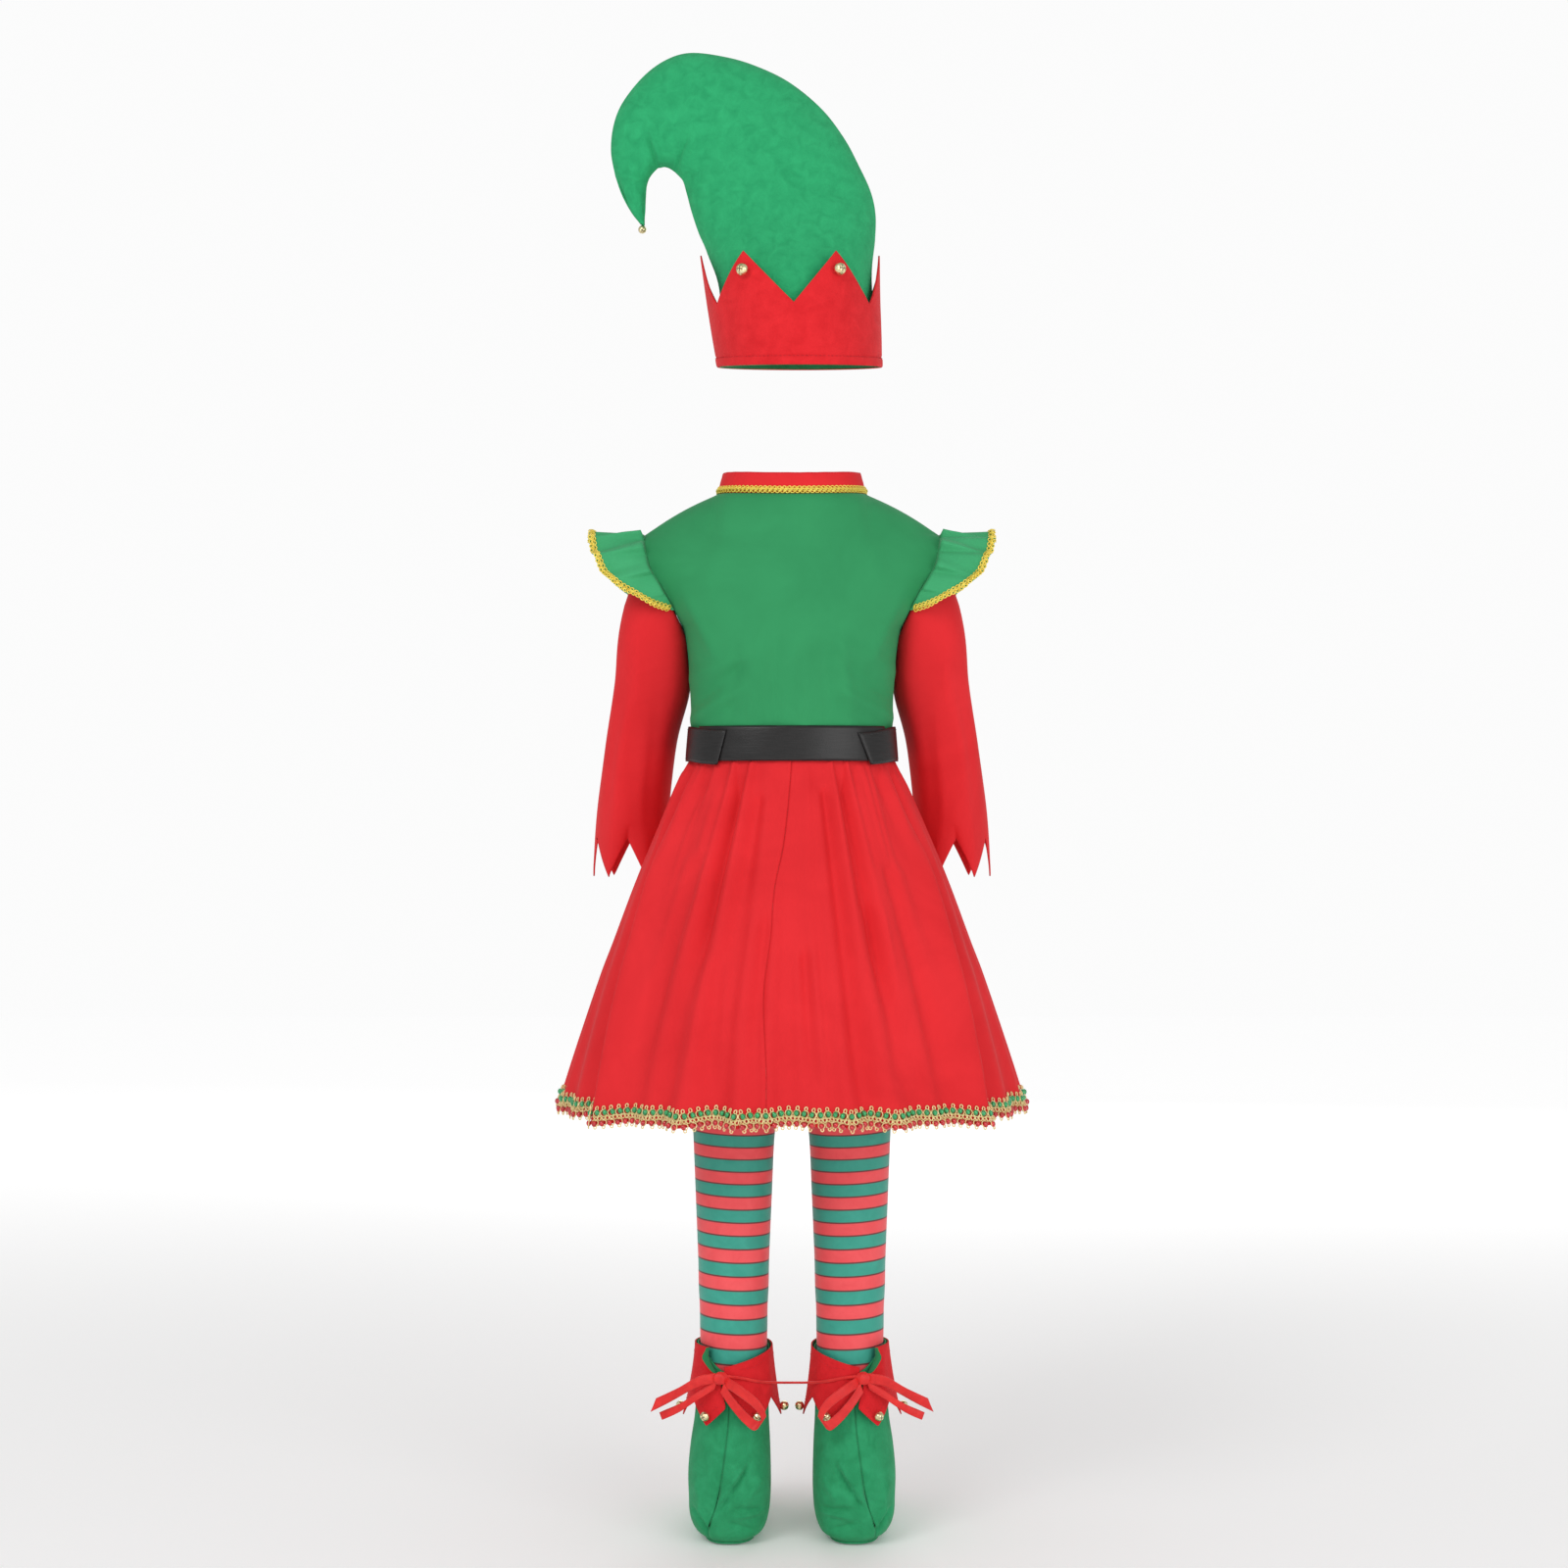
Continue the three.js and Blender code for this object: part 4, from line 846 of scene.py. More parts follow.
# Tights. Fine stretch knit in red and green stripes with a dark line between them, closer together
# above. Two legs with feet, and an upper part in two halves that the skirt hides.
TIGHTS_WAIST, LEGS_JOINED, CROTCH = 800, 690, 575
LEG = {
    "height": [2.9, 10, 24, 44, 66, 95, 125, 165, 197, 282, 349, 406, 490, 574],
    "x": [63, 63, 63.5, 63.5, 63, 61.5, 60, 59.3, 59.3, 59.3, 59.2, 59, 56.5, 53.5],
    "width": [16, 28, 34, 36, 35, 34, 33.2, 33.3, 34, 36.3, 39, 41.5, 47.5, 52.5],
    "back": [28, 40, 45, 47, 46, 43, 37.5, 33.5, 34, 37, 39.5, 42, 48, 54],
    "front": [108, 131, 138, 124, 90, 57, 39, 34, 34, 36, 38.5, 41.5, 48, 54],
    "power": [2.6, 2.6, 2.6, 2.6, 2.6, 2.3, 2, 2, 2, 2, 2, 2, 2, 2],
}
TIGHTS_TOP = {
    "height": [575, 640, 700, 760, 800],
    "width": [106, 108, 106, 101, 100],
    "deep": [66, 80, 82, 79, 77.5],
}
STRIPE_START = 411.8
stripes, stripes_in, stripes_out = new_group(
    "stripes", [("Vector", "NodeSocketVector", None)],
    [("Red", "NodeSocketFloat"), ("Line", "NodeSocketFloat")],
)
split = node(stripes, "ShaderNodeSeparateXYZ", {"Vector": stripes_in.outputs["Vector"]}).outputs
# Each stripe climbs a little towards the outer side of its leg
outer = maths(stripes, "SUBTRACT", maths(stripes, "ABSOLUTE", split["X"]), 0.059)
level = maths(stripes, "ADD", split["Z"], maths(stripes, "MULTIPLY", outer, -0.045))
# The stripes get wider on their way down, by a count that slows with the distance
down = maths(stripes, "SUBTRACT", (STRIPE_START - NECK) * MM, level)
down = maths(stripes, "MULTIPLY", down, 1015.0)
count = maths(stripes, "MULTIPLY", down, maths(stripes, "MULTIPLY_ADD", down, -4.08e-5, 0.0816))
line = node(stripes, "ShaderNodeMapRange", {
    "Value": maths(stripes, "PINGPONG", count, 0.5), "From Min": 0.035, "From Max": 0.075,
    "To Min": 1.0, "To Max": 0.0}).outputs[0]
red = maths(stripes, "GREATER_THAN", maths(stripes, "WRAP", count, 2.0, 0.0), 1.0)
fill(stripes, stripes_out, {"Red": red, "Line": line})

striped_knit, tree, shader = start_material("striped knit")
place = node(tree, "ShaderNodeTexCoord").outputs
pattern = node(tree, "ShaderNodeGroup", {"Vector": place["Object"]}, node_tree=stripes).outputs
soft = node(tree, "ShaderNodeGroup", {
    "Vector": place["Object"], "Fibre Scale": 1200, "Mottle Scale": 60}, node_tree=grain).outputs
ribs = node(tree, "ShaderNodeTexWave", {
    "Vector": place["UV"], "Scale": 330.0, "Distortion": 0.6, "Detail": 1.0}, bands_direction="X")
courses = node(tree, "ShaderNodeTexWave", {
    "Vector": place["UV"], "Scale": 260.0, "Distortion": 0.3}, bands_direction="Y")
green_tone = between(tree, soft["Mottle"], (0.026, 0.30, 0.225), (0.06, 0.44, 0.33))
red_tone = between(tree, soft["Mottle"], (0.84, 0.065, 0.078), (0.97, 0.125, 0.135))
striped = between(tree, pattern["Red"], green_tone, red_tone)
stitches = maths(tree, "ADD", ribs.outputs["Fac"], courses.outputs["Fac"])
fill(tree, shader, {
    "Base Color": between(tree, pattern["Line"], striped, (0.13, 0.035, 0.035)),
    "Normal": bumped(tree, maths(tree, "ADD", stitches, soft["Height"]), 0.22, 0.0003),
    "Roughness": 0.6, "Specular IOR Level": 0.35, "Sheen Weight": 0.35, "Sheen Roughness": 0.35})

u, v = grid(64, 104, True)
turn = 2 * math.pi * u
high = mix(LEG["height"][0], CROTCH, v)
ankle = 0.7 * hump(v, 0.42, 0.05) * np.sin(60 * v + 2 * np.sin(turn)) * (0.5 + 0.5 * np.sin(turn))
points = np.stack([*section(LEG, turn, high, ankle), high], axis=-1)
# The foot closes towards the middle of its sole
foot = points[:1].mean(axis=1, keepdims=True)
close = np.array([0, 0.35, 0.7])[:, None, None]
points = np.concatenate([foot + (points[:1] - foot) * close, points])
for side in SIDES:
    cloth_piece(f"tights_leg_{side}", handed(points, side, True), 1.0, striped_knit,
                "stretched", closed=True, pole=True)

u, v = grid(48, 30)
high = mix(CROTCH + 0.3, TIGHTS_WAIST, v)
share = smooth(high, CROTCH, LEGS_JOINED)
turn = 2 * u - 1
leg_x = LEG["x"][-1] + LEG["width"][-1] * np.cos(math.pi * turn)
leg_y = LEG["back"][-1] * np.sin(math.pi * turn)
top_x = along(TIGHTS_TOP, "height", "width", high) * np.cos(math.pi / 2 * turn) + 0.3
top_y = along(TIGHTS_TOP, "height", "deep", high) * np.sin(math.pi / 2 * turn)
points = np.stack([mix(leg_x, top_x, share), mix(leg_y, top_y, share) * 0.998, high], axis=-1)
for side in SIDES:
    cloth_piece(f"tights_top_{side}", handed(points, side), 1.0, striped_knit,
                "stretched")

# Shoe covers. Green felt, an outer and an inner half joined down the heel and the toe, on a thin
# felt sole. The heel seam is open above the slit, and the felt creases low on the heel.
SHOE_TOP, SLIT_END = 197, 143
SHOE_MIDDLE = 63
SOLE = {"width": 25.2, "back": 39.2, "front": 122.2, "power": 2.6}
SOLE_CUT = (0.051, 0.162)
SHOE = {
    "height": [2.8, 9, 24, 44, 66, 95, 125, 160, 197],
    "x": [63, 63, 63.5, 63.5, 63.5, 62.5, 61, 60, 59.3],
    "width": [25, 34, 40, 42, 42, 40, 37.5, 36.6, 36.8],
    "back": [39, 46, 51, 53, 53, 50, 44, 38, 36.8],
    "front": [122, 140, 148, 136, 108, 72, 47, 38.5, 36.8],
    "power": [2.6, 2.6, 2.6, 2.6, 2.6, 2.3, 2, 2, 2],
}
# The heel seam wanders to the outer side at its foot, in degrees by height
HEEL_SEAM = {"height": [2.8, 11, 40, 64, 95, 143, 197], "turn": [38, 31, 12.6, 6.5, 5, 4, 2]}
shoe_felt = cloth_material("shoe felt", (0.030, 0.355, 0.148), (0.017, 0.262, 0.100), 0.95, 0.1,
                           480, 60, 1.2, 0.8)
lining = cloth_material("green lining", (0.022, 0.235, 0.085), (0.014, 0.17, 0.06), 0.9, 0.25,
                        700, 30, 0.7, 0.4)


def shoe_points(u, v, half):
    outer = half == "outer"
    drop = 24 * hump(u, 0, 0.2) if outer else 22 * np.exp(-(((1 - u) / 0.4) ** 1.3))
    high = mix(SHOE["height"][0], SHOE_TOP - drop, v**1.25)
    slit = 0.2 * smooth(high, SLIT_END, SHOE_TOP)
    toe = 0.02 / along(SHOE, "height", "width", high)
    heel = np.radians(along(HEEL_SEAM, "height", "turn", high))
    if outer:
        start, end = -math.pi / 2 + toe + slit + heel, math.pi / 2 - toe
    else:
        start, end = math.pi / 2 + toe, 1.5 * math.pi - toe - slit + heel
    return np.stack([*section(SHOE, mix(start, end, u), high), high], axis=-1)


HEEL_CREASES = {
    "outer": [(35, 34, -13, -19, 2.4, -1.9), (30, 36, -13, -19, 3.0, 1.5), (33, 62, -6, -22, 5, 1.0),
              (14, 88, 8, -34, 6, 0.8)],
    "inner": [(-16, 76, 21, -32, 2.2, -2.0), (-11, 78, 20, -30, 3.2, 1.6), (-8, 39, -24, -3, 2.6, -1.3),
              (-10, 31, -22, 3, 2.8, 1.3), (-30, 66, 12, -18, 4, 0.9), (-2, 24, -20, -8, 2.6, -1.0)],
}
for half, seed in (("outer", 31), ("inner", 37)):
    u, v = grid(68, 78)
    points = shoe_points(u, v, half)
    x, y, high = np.moveaxis(points, -1, 0)
    relief = 2.4 * drag_lines(x - SHOE_MIDDLE, high, HEEL_CREASES[half]) * smooth(-y, -5, 20)
    relief += ripple(u, v, seed, 30, 0.1, 0.1, 1.0) * smooth(1 - v, 0.1, 0.5)
    edge = np.minimum(u, 1 - u)
    relief += 0.6 * hump(edge, 0.028, 0.016) - 0.5 * hump(edge, 0, 0.006)
    relief *= smooth(v, 0, 0.04) * smooth(1 - v, 0, 0.2)
    points = points + outwards(points, False) * relief[..., None]
    for side in SIDES:
        cloth_piece(f"shoe_{half}_{side}", handed(points, side), 1.4, shoe_felt,
                    "stretched", inside=lining)

x, y = oval(circle(72), *SOLE.values())
ring = np.stack([x + SHOE_MIDDLE, y, 0 * x + 2.4], axis=-1)
centre = ring.mean(axis=0)
points = np.stack([centre + (ring - centre) * share for share in (1.0, 0.99, 0.6, 0.3, 0.0)])
points[0, :, 2] = 1.0
for side in SIDES:
    cloth_piece(f"shoe_sole_{side}", handed(points, side), 1.8, shoe_felt, "laid",
                closed=True, pole=True, flat=SOLE_CUT)

# Shoe cuffs. Red felt lined with green, with six points, falling from the top of the shoe cover.
# They are slit at the heel, where the outer corner turns out and shows the lining.
CUFF_POINTS, CUFF_POINT, CUFF_VALLEY, CUFF_FLARE = 6, 122, 146, 10
CUFF_START, CUFF_END, CUFF_TURN, CUFF_OPENING = np.radians([-82, 274, 8, 17])
CUFF_ROLL = 2.7
SHOE_CUFF_CUT = (0.33, 0.08)
red_felt = cloth_material("red felt", (0.74, 0.018, 0.024), (0.62, 0.010, 0.015), 0.95, 0.1,
                          520, 60, 1.1, 0.7)


def zigzag(angle):
    """1 at the points of a cuff and 0 in the valleys between them."""
    turn = ((angle / (2 * math.pi) + 0.25) * CUFF_POINTS + 2 * CUFF_POINTS) % 1
    return 1 - np.abs(2 * turn - 1)


def cuff_surface(angle, high, extra=0.0):
    fall = np.clip((SHOE_TOP - high) / (SHOE_TOP - CUFF_POINT), 0, 1)
    x, y = section(SHOE, angle, high, CLOTH + 0.6 + CUFF_FLARE * fall**1.3 + extra)
    return np.stack([x, y, high + 0 * x], axis=-1)


def cuff_points(u, v, seed):
    shift = CUFF_TURN * smooth(v, 0, 0.5)
    start = CUFF_START + shift + CUFF_OPENING * smooth(v, 0.5, 1) ** 1.5
    angle = mix(start, CUFF_END + shift, u)
    low = mix(CUFF_VALLEY, CUFF_POINT, zigzag(np.minimum(angle, 1.5 * math.pi)))
    top = SHOE_TOP - 18 * np.exp(-(((1 - u) / 0.2) ** 1.3))
    wave = 0.4 * np.sin(7 * angle + seed) + 2 * np.sin(11 * angle + 2 * seed) * v
    points = cuff_surface(angle, mix(low, top, v), wave * (1 - v) + 0.8)
    # The outer corner of the slit rolls over outwards, more towards the top
    reach = 10 * smooth(v, 0.3, 0.85) * (1 - 0.4 * smooth(v, 0.8, 1)) + 0.01
    arc = np.concatenate([np.zeros((len(points), 1)), np.cumsum(steps(points, 1), axis=1)], axis=1)
    hinge, hinge_out = (
        np.array([read_at(*row) for row in zip(reach[:, 0], arc, values)])[:, None]
        for values in (points, outwards(points, False)))
    bend = np.clip(reach - arc, 0, None)
    turn = np.minimum(bend / CUFF_ROLL, 2.5)
    spare = bend - turn * CUFF_ROLL
    ahead = CUFF_ROLL * np.sin(turn) + spare * np.cos(turn)
    over = CUFF_ROLL * (1 - np.cos(turn)) + spare * np.sin(turn)
    rolled = hinge + unit(points[:, :1] - hinge) * ahead[..., None] + hinge_out * over[..., None]
    return np.where((bend > 0)[..., None], rolled, points)


shoe_cuffs = {}
for side, way in SIDES.items():
    shoe_cuffs[side] = handed(cuff_points(*grid(264, 22), 0.4 + way), side)
    cloth_piece(f"shoe_cuff_{side}", shoe_cuffs[side], 1.3, red_felt, "hung",
                flat=SHOE_CUFF_CUT, inside=lining)

# Hat. Two felt halves cut to one curled profile and sewn along its edge, in a lighter green. The
# crown pulls into short creases round the inside of the hook.
HAT_BRIM, HAT_TILT = 1190, 12
CROWN = {
    "outX": [89, 81, 84.5, 85, 80, 68, 53, 30, -3, -38, -69, -103, -128, -151, -171.5, -181, -184,
             -181, -174, -164, -154.5],
    "outZ": [1192, 1275, 1320, 1346, 1369, 1395, 1423, 1453, 1480, 1497, 1506, 1510, 1503, 1486.5,
             1461, 1438, 1413, 1392, 1369, 1349, 1336],
    "inX": [-73, -73, -86, -95, -102, -107, -111, -118, -124, -129, -133, -137, -141, -144.5, -147,
            -148.5, -149.3, -149.8, -150, -150.3, -150],
    "inZ": [1190, 1265, 1307, 1328, 1349, 1368, 1381, 1389, 1393.5, 1395.5, 1395.5, 1394, 1390.5,
            1386, 1381, 1375, 1367, 1359, 1351, 1343, 1335],
    "deep": [92, 80, 60, 49, 43, 39, 36, 33, 31, 29, 27, 25, 23, 21, 18, 15, 12.5, 10, 7.5, 5, 3.2],
    "step": list(range(21)),
}
hat_felt = cloth_material("hat felt", (0.026, 0.395, 0.152), (0.015, 0.305, 0.114), 0.95, 0.08,
                          420, 85, 1.3, 1.0)


def crown_points(u, v, side):
    part = {name: along(CROWN, "step", name, v * CROWN["step"][-1]) for name in CROWN}
    angle = math.pi * u + (math.pi if side < 0 else 0)
    middle_x = (part["outX"] + part["inX"]) / 2
    middle_z = (part["outZ"] + part["inZ"]) / 2
    x = middle_x + (part["outX"] - middle_x) * np.cos(angle)
    z = middle_z + (part["outZ"] - middle_z) * np.cos(angle) + (1 - v) ** 12 * HAT_TILT * np.sin(angle)
    return np.stack([x, part["deep"] * np.sin(angle) + side * 0.15, z], axis=-1)


HOOK_CREASES = [
    (-137, 1395, -9, 26, 1.7, -2.4), (-133, 1396, -9, 26, 3.0, 1.6), (-117, 1393, 10, 24, 1.7, -2.2),
    (-112, 1392, 11, 24, 3, 1.4), (-110, 1383, 22, 5, 1.9, -1.8), (-104, 1372, 28, -3, 4, 1.4),
    (-150, 1380, -30, 6, 3.5, 1.2), (-78, 1300, 34, -8, 8, 1.2), (60, 1330, -30, 34, 9, 1.2),
    (20, 1400, -50, 26, 10, 1.4),
]
for name, side in (("hat_crown_front", 1), ("hat_crown_back", -1)):
    u, v = grid(80, 132)
    points = crown_points(u, v, side)
    still = smooth(u, 0, 0.1) * smooth(1 - u, 0, 0.1) * smooth(1 - v, 0, 0.1)
    relief = drag_lines(points[..., 0], points[..., 2], HOOK_CREASES) * still
    relief += ripple(u, v, 44 + side, 40, 0.12, 0.05, 1.4) * still * smooth(v, 0.02, 0.2)
    edge = np.minimum(u, 1 - u)
    seam = 0.7 * hump(edge, 0.03, 0.018) - 0.9 * hump(edge, 0, 0.008)
    relief += seam * smooth(1 - v, 0, 0.1)
    points = points + outwards(points, False) * relief[..., None]
    cloth_piece(name, points, 1.6, hat_felt, "stretched", inside=lining)

# Hat cuff. A turned-up red felt band with six points round the brim, its lower edge turned in and
# stitched. The points lean a little away from the crown.
HAT_CUFF = {
    "height": [0, 30, 70, 120],
    "x": [8, 5, 1, -3],
    "width": [84, 86.5, 89, 92],
    "back": [95, 95, 93, 89],
    "front": [95, 95, 93, 89],
}
HAT_VALLEY, HAT_PEAK, HAT_HEM = 62, 114, 9.4
HAT_CUFF_CUT = (0.569, 0.116)
HAT_PITCH, SHOE_PITCH = 4.4, 3.6


def hat_cuff_surface(angle, rise, lift=0.0):
    high = HAT_BRIM + rise + HAT_TILT * np.sin(angle)
    return np.stack([*section(HAT_CUFF, angle, rise, lift), high], axis=-1)


def hat_cuff_points(u, v):
    angle = 2 * math.pi * u
    rise = v * mix(HAT_VALLEY, HAT_PEAK, zigzag(angle))
    hem = smooth(rise, 9.5, 7.5) * smooth(rise, -0.1, 1.6) - hump(rise, HAT_HEM, 1.2)
    wave = 0.7 * np.sin(5 * angle + 1) * v + 0.5 * np.sin(11 * angle) * v**2
    return hat_cuff_surface(angle, rise, 0.8 * hem + wave)


u, v = grid(288, 42, True)
cloth_piece("hat_cuff", hat_cuff_points(u, v**1.25), 1.6, red_felt, "stretched",
            closed=True, flat=HAT_CUFF_CUT, inside=lining)
red_thread = cloth_material("red thread", (0.62, 0.02, 0.03), (0.45, 0.012, 0.02), 0.7, 0.1,
                            3000, 300, 0.3, 0.3)
angle = circle(480)
seam, above = (hat_cuff_surface(angle, np.full(480, rise), 0.1) for rise in (9.0, 12.0))
normals = outwards(np.stack([seam, above]), True)[0]
set_along("hat_cuff_stitches", stations_on(seam, normals, HAT_PITCH, True), stitch, red_thread)
for side, points in shoe_cuffs.items():
    normals = outwards(points, False)
    upper = slice(31, -16) if side == "right" else slice(16, -31)
    for place, row, part in (("lower", 3, slice(6, -6)), ("upper", 19, upper)):
        stations = stations_on(points[row][part], normals[row][part], SHOE_PITCH, False, 0.05)
        set_along(f"shoe_cuff_stitches_{place}_{side}", stations, stitch, red_thread,
                  size=0.8)
remove(stitch)

# Bells. Small brass jingle bells with a rim round the middle and a cross of slits, one near each
# point of the cuffs and one on the tip of the hat.
brass = metal_material("brass", (0.90, 0.80, 0.50), (0.70, 0.58, 0.30), 0.24, 0.95, 900, 0.12)
# Painted shade: the slits are only dents, coloured near black with a little random speckle to stand in for
# the shadow of the hollow inside the bell.
painted_slit_shade, tree, shader = start_material("bell slit painted shade")
place = node(tree, "ShaderNodeTexCoord").outputs["Object"]
shade_speckle = node(tree, "ShaderNodeTexNoise", {"Vector": place, "Scale": 900.0}).outputs["Fac"]
shade = node(tree, "ShaderNodeMapRange", {"Value": shade_speckle, "To Min": 0.01, "To Max": 0.05}).outputs[0]
fill(tree, shader, {"Base Color": shade, "Roughness": 0.8})


def bell(name, place, out, radius, seed):
    """A ball with a rim across its way out and a crossed slit on its face, the slit in painted shade."""
    draw = np.random.RandomState(seed)
    out = unit(np.asarray(out, float))
    side = unit(np.cross(out, [0, 0, 1]))
    spin = draw.uniform(0, math.pi)
    up = np.cross(side, out)
    side, up = (side * math.cos(spin) + up * math.sin(spin),
                up * math.cos(spin) - side * math.sin(spin))
    mesh = bmesh.new()
    segments, rings = 32, 22
    layers = []
    for tilt in math.pi * np.arange(1, rings) / rings:
        away = math.sin(tilt)
        rim = radius * (1 + 0.05 * hump(tilt, math.pi / 2, 0.09))
        ring = []
        for turn in circle(segments):
            slot = min(abs(math.sin(turn)), abs(math.cos(turn))) * away
            dent = 0.16 * math.exp(-((slot / 0.085) ** 4)) if tilt < 1.25 else 0
            around = math.cos(turn) * side + math.sin(turn) * up
            at = place + (rim - radius * dent) * (math.cos(tilt) * out + away * around)
            ring.append(mesh.verts.new(to_frame(at)))
        layers.append(ring)
    front = mesh.verts.new(to_frame(place + out * radius * 0.84))
    rear = mesh.verts.new(to_frame(place - out * radius))
    for j in range(segments):
        k = (j + 1) % segments
        mesh.faces.new((front, layers[0][j], layers[0][k]))
        mesh.faces.new((rear, layers[-1][k], layers[-1][j]))
        for one, two in zip(layers[:-1], layers[1:]):
            mesh.faces.new((one[j], two[j], two[k], one[k]))
    bmesh.ops.recalc_face_normals(mesh, faces=mesh.faces)
    # Faces dented into the slits on the front get the painted shade material; the rest stays brass.
    for face in mesh.faces:
        middle = np.array(face.calc_center_median()) - to_frame(place)
        low = np.linalg.norm(middle) < radius * MM * 0.905
        face.material_index = int(low and middle @ out > 0)
    piece = motif_object(name, mesh)
    piece.data.materials.append(brass)
    piece.data.materials.append(painted_slit_shade)
    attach(piece, "root")
    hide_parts(name)


def seat_of(surface, angle, high, radius, gap):
    """Where a bell sits on a surface: its middle and the way out."""
    near = surface(*np.meshgrid([angle - 0.1, angle, angle + 0.1], [high - 2.0, high, high + 2.0]))
    way = outwards(near, False)[1, 1]
    return near[1, 1] + way * (radius + gap), way


SHOE_BELL, HAT_BELL, TIP_BELL = 4.7, 6.0, 4.0
SHOE_BELL_SEEDS = {"right": 50, "left": 60}
for i in range(CUFF_POINTS):
    turn = math.radians(-60 + 60 * i)
    gap = 1.9 if math.sin(turn) > 0.5 else 0.4
    place, way = seat_of(cuff_surface, turn, CUFF_POINT + 8, SHOE_BELL, gap)
    way = way + [0, 0, -0.5]
    for side, sign in SIDES.items():
        flip = np.array([sign, 1, 1])
        bell(f"shoe_bell_{i + 1}_{side}", place * flip, way * flip, SHOE_BELL,
             SHOE_BELL_SEEDS[side] + i)
for name, degrees in (
        ("back_left", -120), ("back_right", -60), ("front_left", 120), ("front_right", 60)):
    place, way = seat_of(hat_cuff_surface, math.radians(degrees), HAT_PEAK - 20, HAT_BELL, 0.4)
    bell(f"hat_bell_{name}", place, way, HAT_BELL, 80 + degrees // 60)
tip = np.array([-152.5, 0, CROWN["inZ"][-1] - TIP_BELL - 0.3])
bell("hat_bell_tip", tip, [0.1, -1, -0.4], TIP_BELL, 90)

# Ribbon ties. Narrow red satin ribbon knotted over the heel slit of each shoe cuff, with two cut
# tails, one loop and a thin strand that runs across from shoe to shoe.
ribbon_satin = cloth_material("red ribbon", (0.82, 0.030, 0.026), (0.66, 0.016, 0.018), 0.42, 0.25,
                              1500, 90, 0.25, 0.15)
KNOT = np.array([-71.5, -46.6, 169.0])
RIBBON, LOOP, LINK = 10.8, 10.2, 3.0


def curve_through(points, count):
    """Even steps on a smooth curve through points."""
    points = np.asarray(points, float)
    wide = np.concatenate([[2 * points[0] - points[1]], points, [2 * points[-1] - points[-2]]])
    result = []
    for t in np.linspace(0, len(points) - 1, count + 1):
        k = min(int(t), len(points) - 2)
        f = t - k
        a, b, c, d = wide[k:k + 4]
        bend = (2 * a - 5 * b + 4 * c - d) * f**2 + (3 * b - a - 3 * c + d) * f**3
        result.append(b + 0.5 * ((c - a) * f + bend))
    return np.array(result)


def ribbon(path, width_way, width, columns, cut=0.0, twist=0.0, curl=0.5):
    """A flat strip on a path; cut slants its first end, twist leans it over along its length."""
    run = curve_through(path, columns)
    u, v = grid(columns, 8)
    across = width * (v - 0.5)
    tangent = unit(np.gradient(run, axis=0))
    side = unit(np.cross(tangent, width_way))
    lean = twist * np.sin(math.pi * u) + 0.12 * np.sin(9 * u + width)
    cup = curl * (1 - (2 * v - 1) ** 2)
    slant = cut * (v - 0.5) * (1 - u) ** 12
    return (run + width_way * (across * np.cos(lean))[..., None]
            + side * (across * np.sin(lean) + cup)[..., None] + tangent * slant[..., None])


upright = np.array([0, 0, 1.0])
slanted = unit(np.array([0.35, 0, 1.0]))
ties = [
    ("tie_tail_upper", [(-67, -12, -24), (-44, -11, -13), (-22, -6, -2), (-5.5, -0.5, 0)],
     upright, RIBBON, 44, 6, 0.2),
    ("tie_tail_lower", [(-60, -4, -37), (-40, -4, -28), (-20, -2, -15), (-4.5, 0, -6.5)],
     slanted, RIBBON, 44, -7, -0.2),
    ("tie_loop", [(4.5, -0.5, -3), (20, -14, -10), (37, -19, -23), (43, -18, -36), (36, -15, -44),
                  (25, -12, -37), (12, -8, -23), (1.5, -2, -9)],
     slanted, LOOP, 80, 0, 0.25),
]
for name, path, *shape in ties:
    points = ribbon(KNOT + np.array(path), *shape)
    for side in ("left", "right"):
        cloth_piece(f"{name}_{side}", handed(points, side, drawn="left"), 0.9, ribbon_satin,
                    "hung")
half = [(-66, -46.5, 171), (-50, -44.4, 168.5), (-38, -40, 165), (-28, -33, 162), (-14, -27, 160)]
path = half + [(-x, y, z) for x, y, z in reversed(half)]
strand = cloth_piece("tie_link", ribbon(path, upright, LINK, 100, 0, 0.6, 0.2), 0.9, ribbon_satin,
                     None)

u, v = grid(56, 36, True)
turn = 2 * math.pi * u
tilt = math.pi * (v - 0.5)
folds = 0.45 * np.sin(5 * turn + 3 * v) + 0.5 * hump(np.sin(turn - 0.6), 0, 0.25)
size = 6.5 + folds * np.cos(tilt)
points = np.stack([1.1 * np.cos(turn) * np.cos(tilt), 0.75 * np.sin(turn) * np.cos(tilt),
                   np.sin(tilt)], axis=-1)
points = points * size[..., None] + KNOT
for side in ("left", "right"):
    cloth_piece(f"tie_knot_{side}", handed(points, side, True, "left"), 0, ribbon_satin,
                None, closed=True, pole=True)

# Hem trim. Beaded lace in gold thread round the hem, half below the cloth: small loops above and
# below, a row of green beads, crossing threads and a row of red beads.
TRIM_MIDDLE, TRIM_PITCH, BEAD = 445.5, 7.8, 2.85
lace_thread = metal_material("lace thread", (0.98, 0.84, 0.46), (0.80, 0.58, 0.22), 0.34, 0.2, 1600, 0.35)


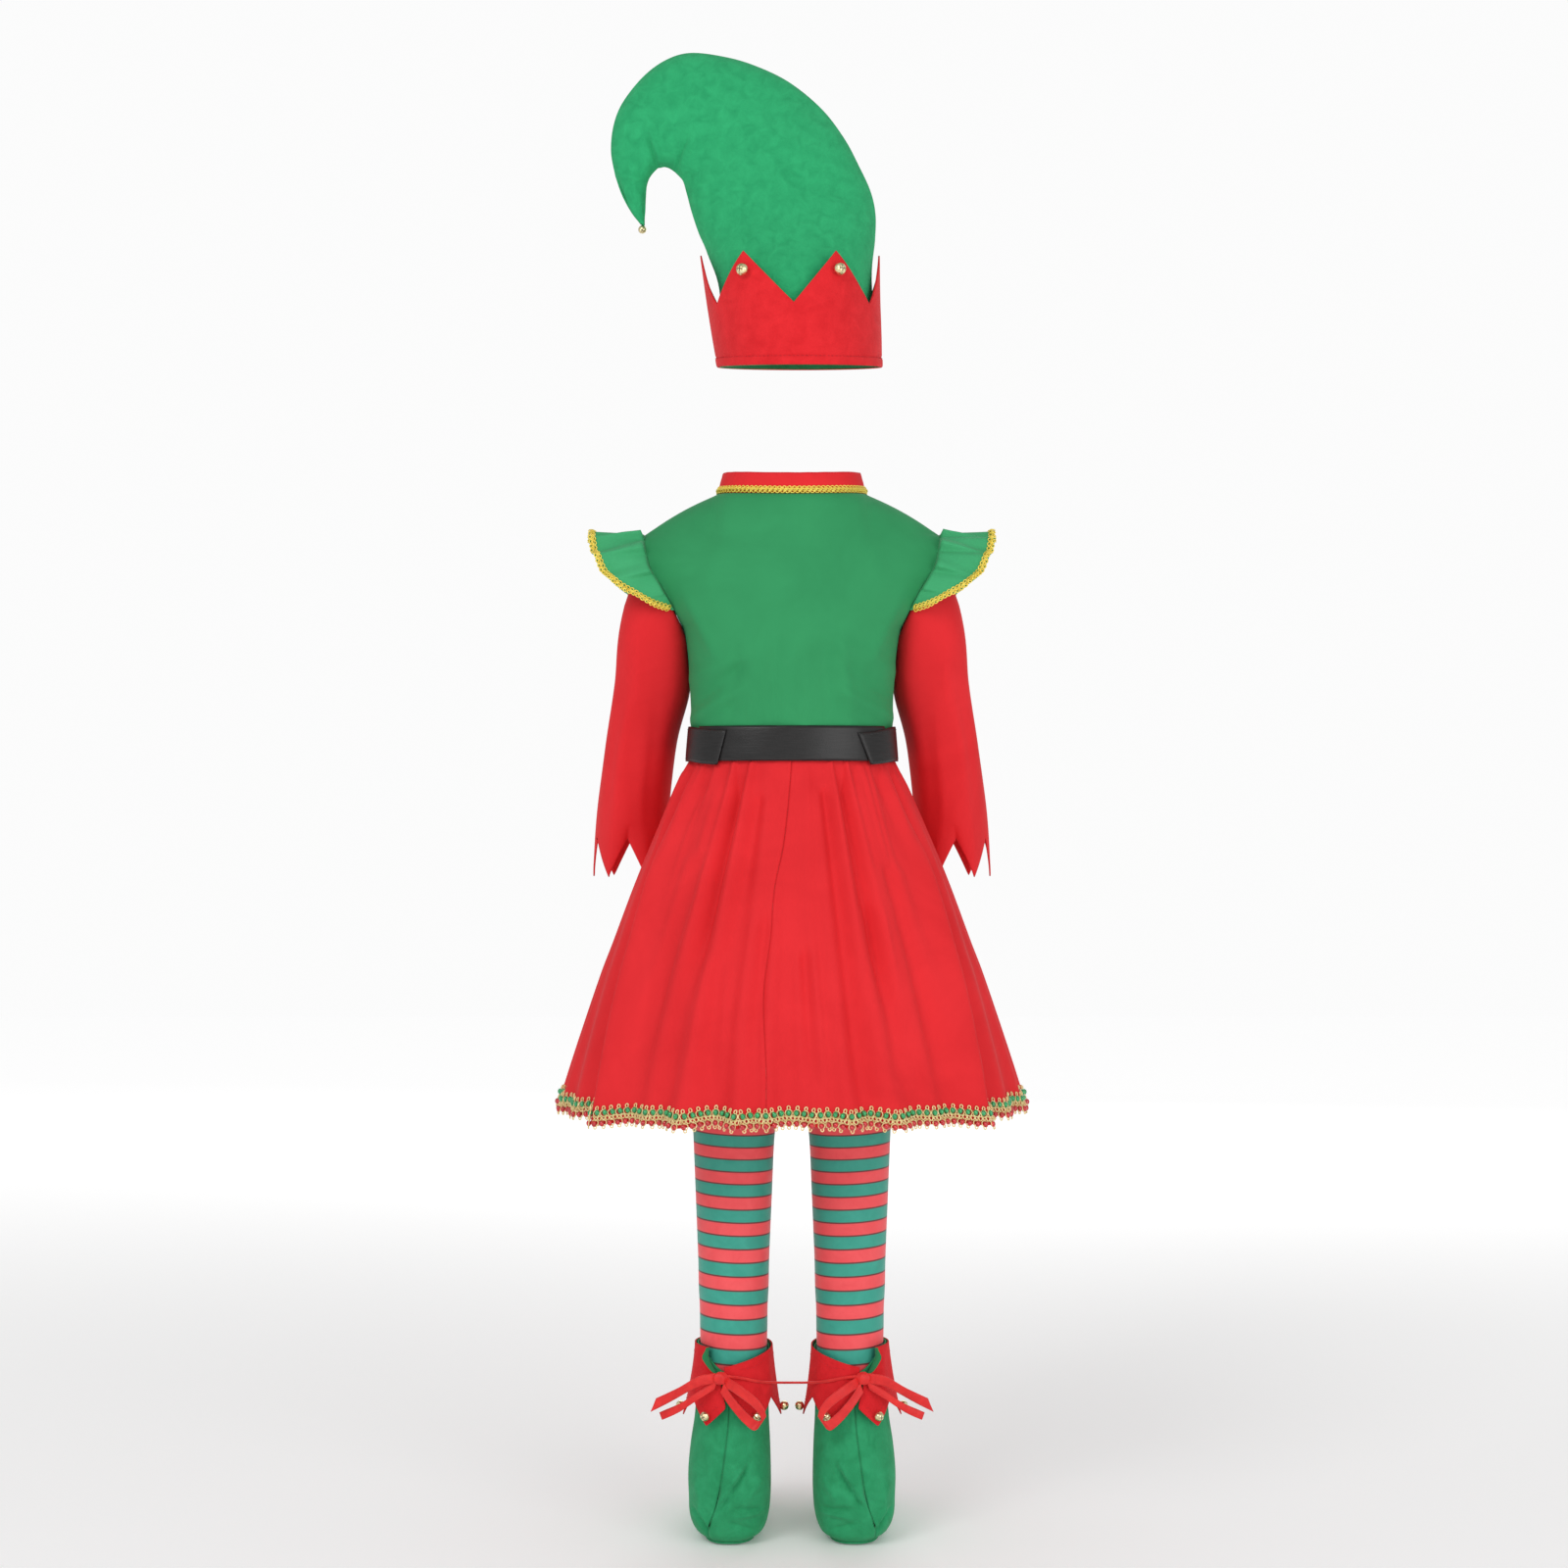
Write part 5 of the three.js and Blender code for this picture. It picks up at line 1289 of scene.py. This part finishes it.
def bead_material(name, light, dark):
    made = metal_material(name, light, dark, 0.12, 0.25, 1500, 0.05)
    made.node_tree.nodes["Principled BSDF"].inputs["Coat Weight"].default_value = 0.8
    return made


green_bead = bead_material("green bead", (0.020, 0.44, 0.13), (0.006, 0.20, 0.06))
red_bead = bead_material("red bead", (0.74, 0.014, 0.022), (0.36, 0.006, 0.010))


def oval_ring(x, y, width, length, count=10):
    return [(x + width * math.cos(a), y + length * math.sin(a), 0.3 * math.cos(2 * a))
            for a in circle(count)]


cross = [(TRIM_PITCH * (a / (2 * math.pi) - 0.5), 1.9 * math.cos(a), 0.6 * math.sin(a))
         for a in np.linspace(0, 2 * math.pi, 9)]
lace = tube_motif("lace", [
    (oval_ring(0, 9.6, 1.5, 2.0, 9), True), (oval_ring(0, 4.6, 3.4, 3.5), True),
    (oval_ring(3.9, -0.3, 1.9, 2.2), True), (cross, False),
    ([(x, -0.6 - y, -z) for x, y, z in cross], False), (oval_ring(0, -5.2, 3.3, 3.0), True),
    (oval_ring(0, -9.2, 1.5, 1.6, 9), True)], 0.58, 5)
mesh = bmesh.new()
bmesh.ops.create_uvsphere(mesh, u_segments=10, v_segments=7, radius=BEAD * MM)
bmesh.ops.scale(mesh, vec=(0.92, 1.08, 0.85), verts=mesh.verts)
bead = motif_object("bead", mesh)
angle = circle(1600) - math.pi
trim_count = 0
for name, drop, motif, material, rise in (
        ("hem_trim", 0, lace, lace_thread, 1.5), ("hem_beads_green", 4.6, bead, green_bead, 2.1),
        ("hem_beads_red", -5.2, bead, red_bead, 2.1)):
    rows = np.stack([skirt_points(angle, np.full(len(angle), TRIM_MIDDLE + drop + step))
                     for step in (-3.0, 0.0, 3.0)])
    length = steps(np.concatenate([rows[1], rows[1][:1]])).sum()
    pitch = length / trim_count if trim_count else TRIM_PITCH
    trim_count = trim_count or round(length / pitch)
    stations = stations_on(rows[1], outwards(rows, True)[1], pitch, True, rise)
    set_along(name, stations, motif, material, name == "hem_trim")
remove(lace, bead)
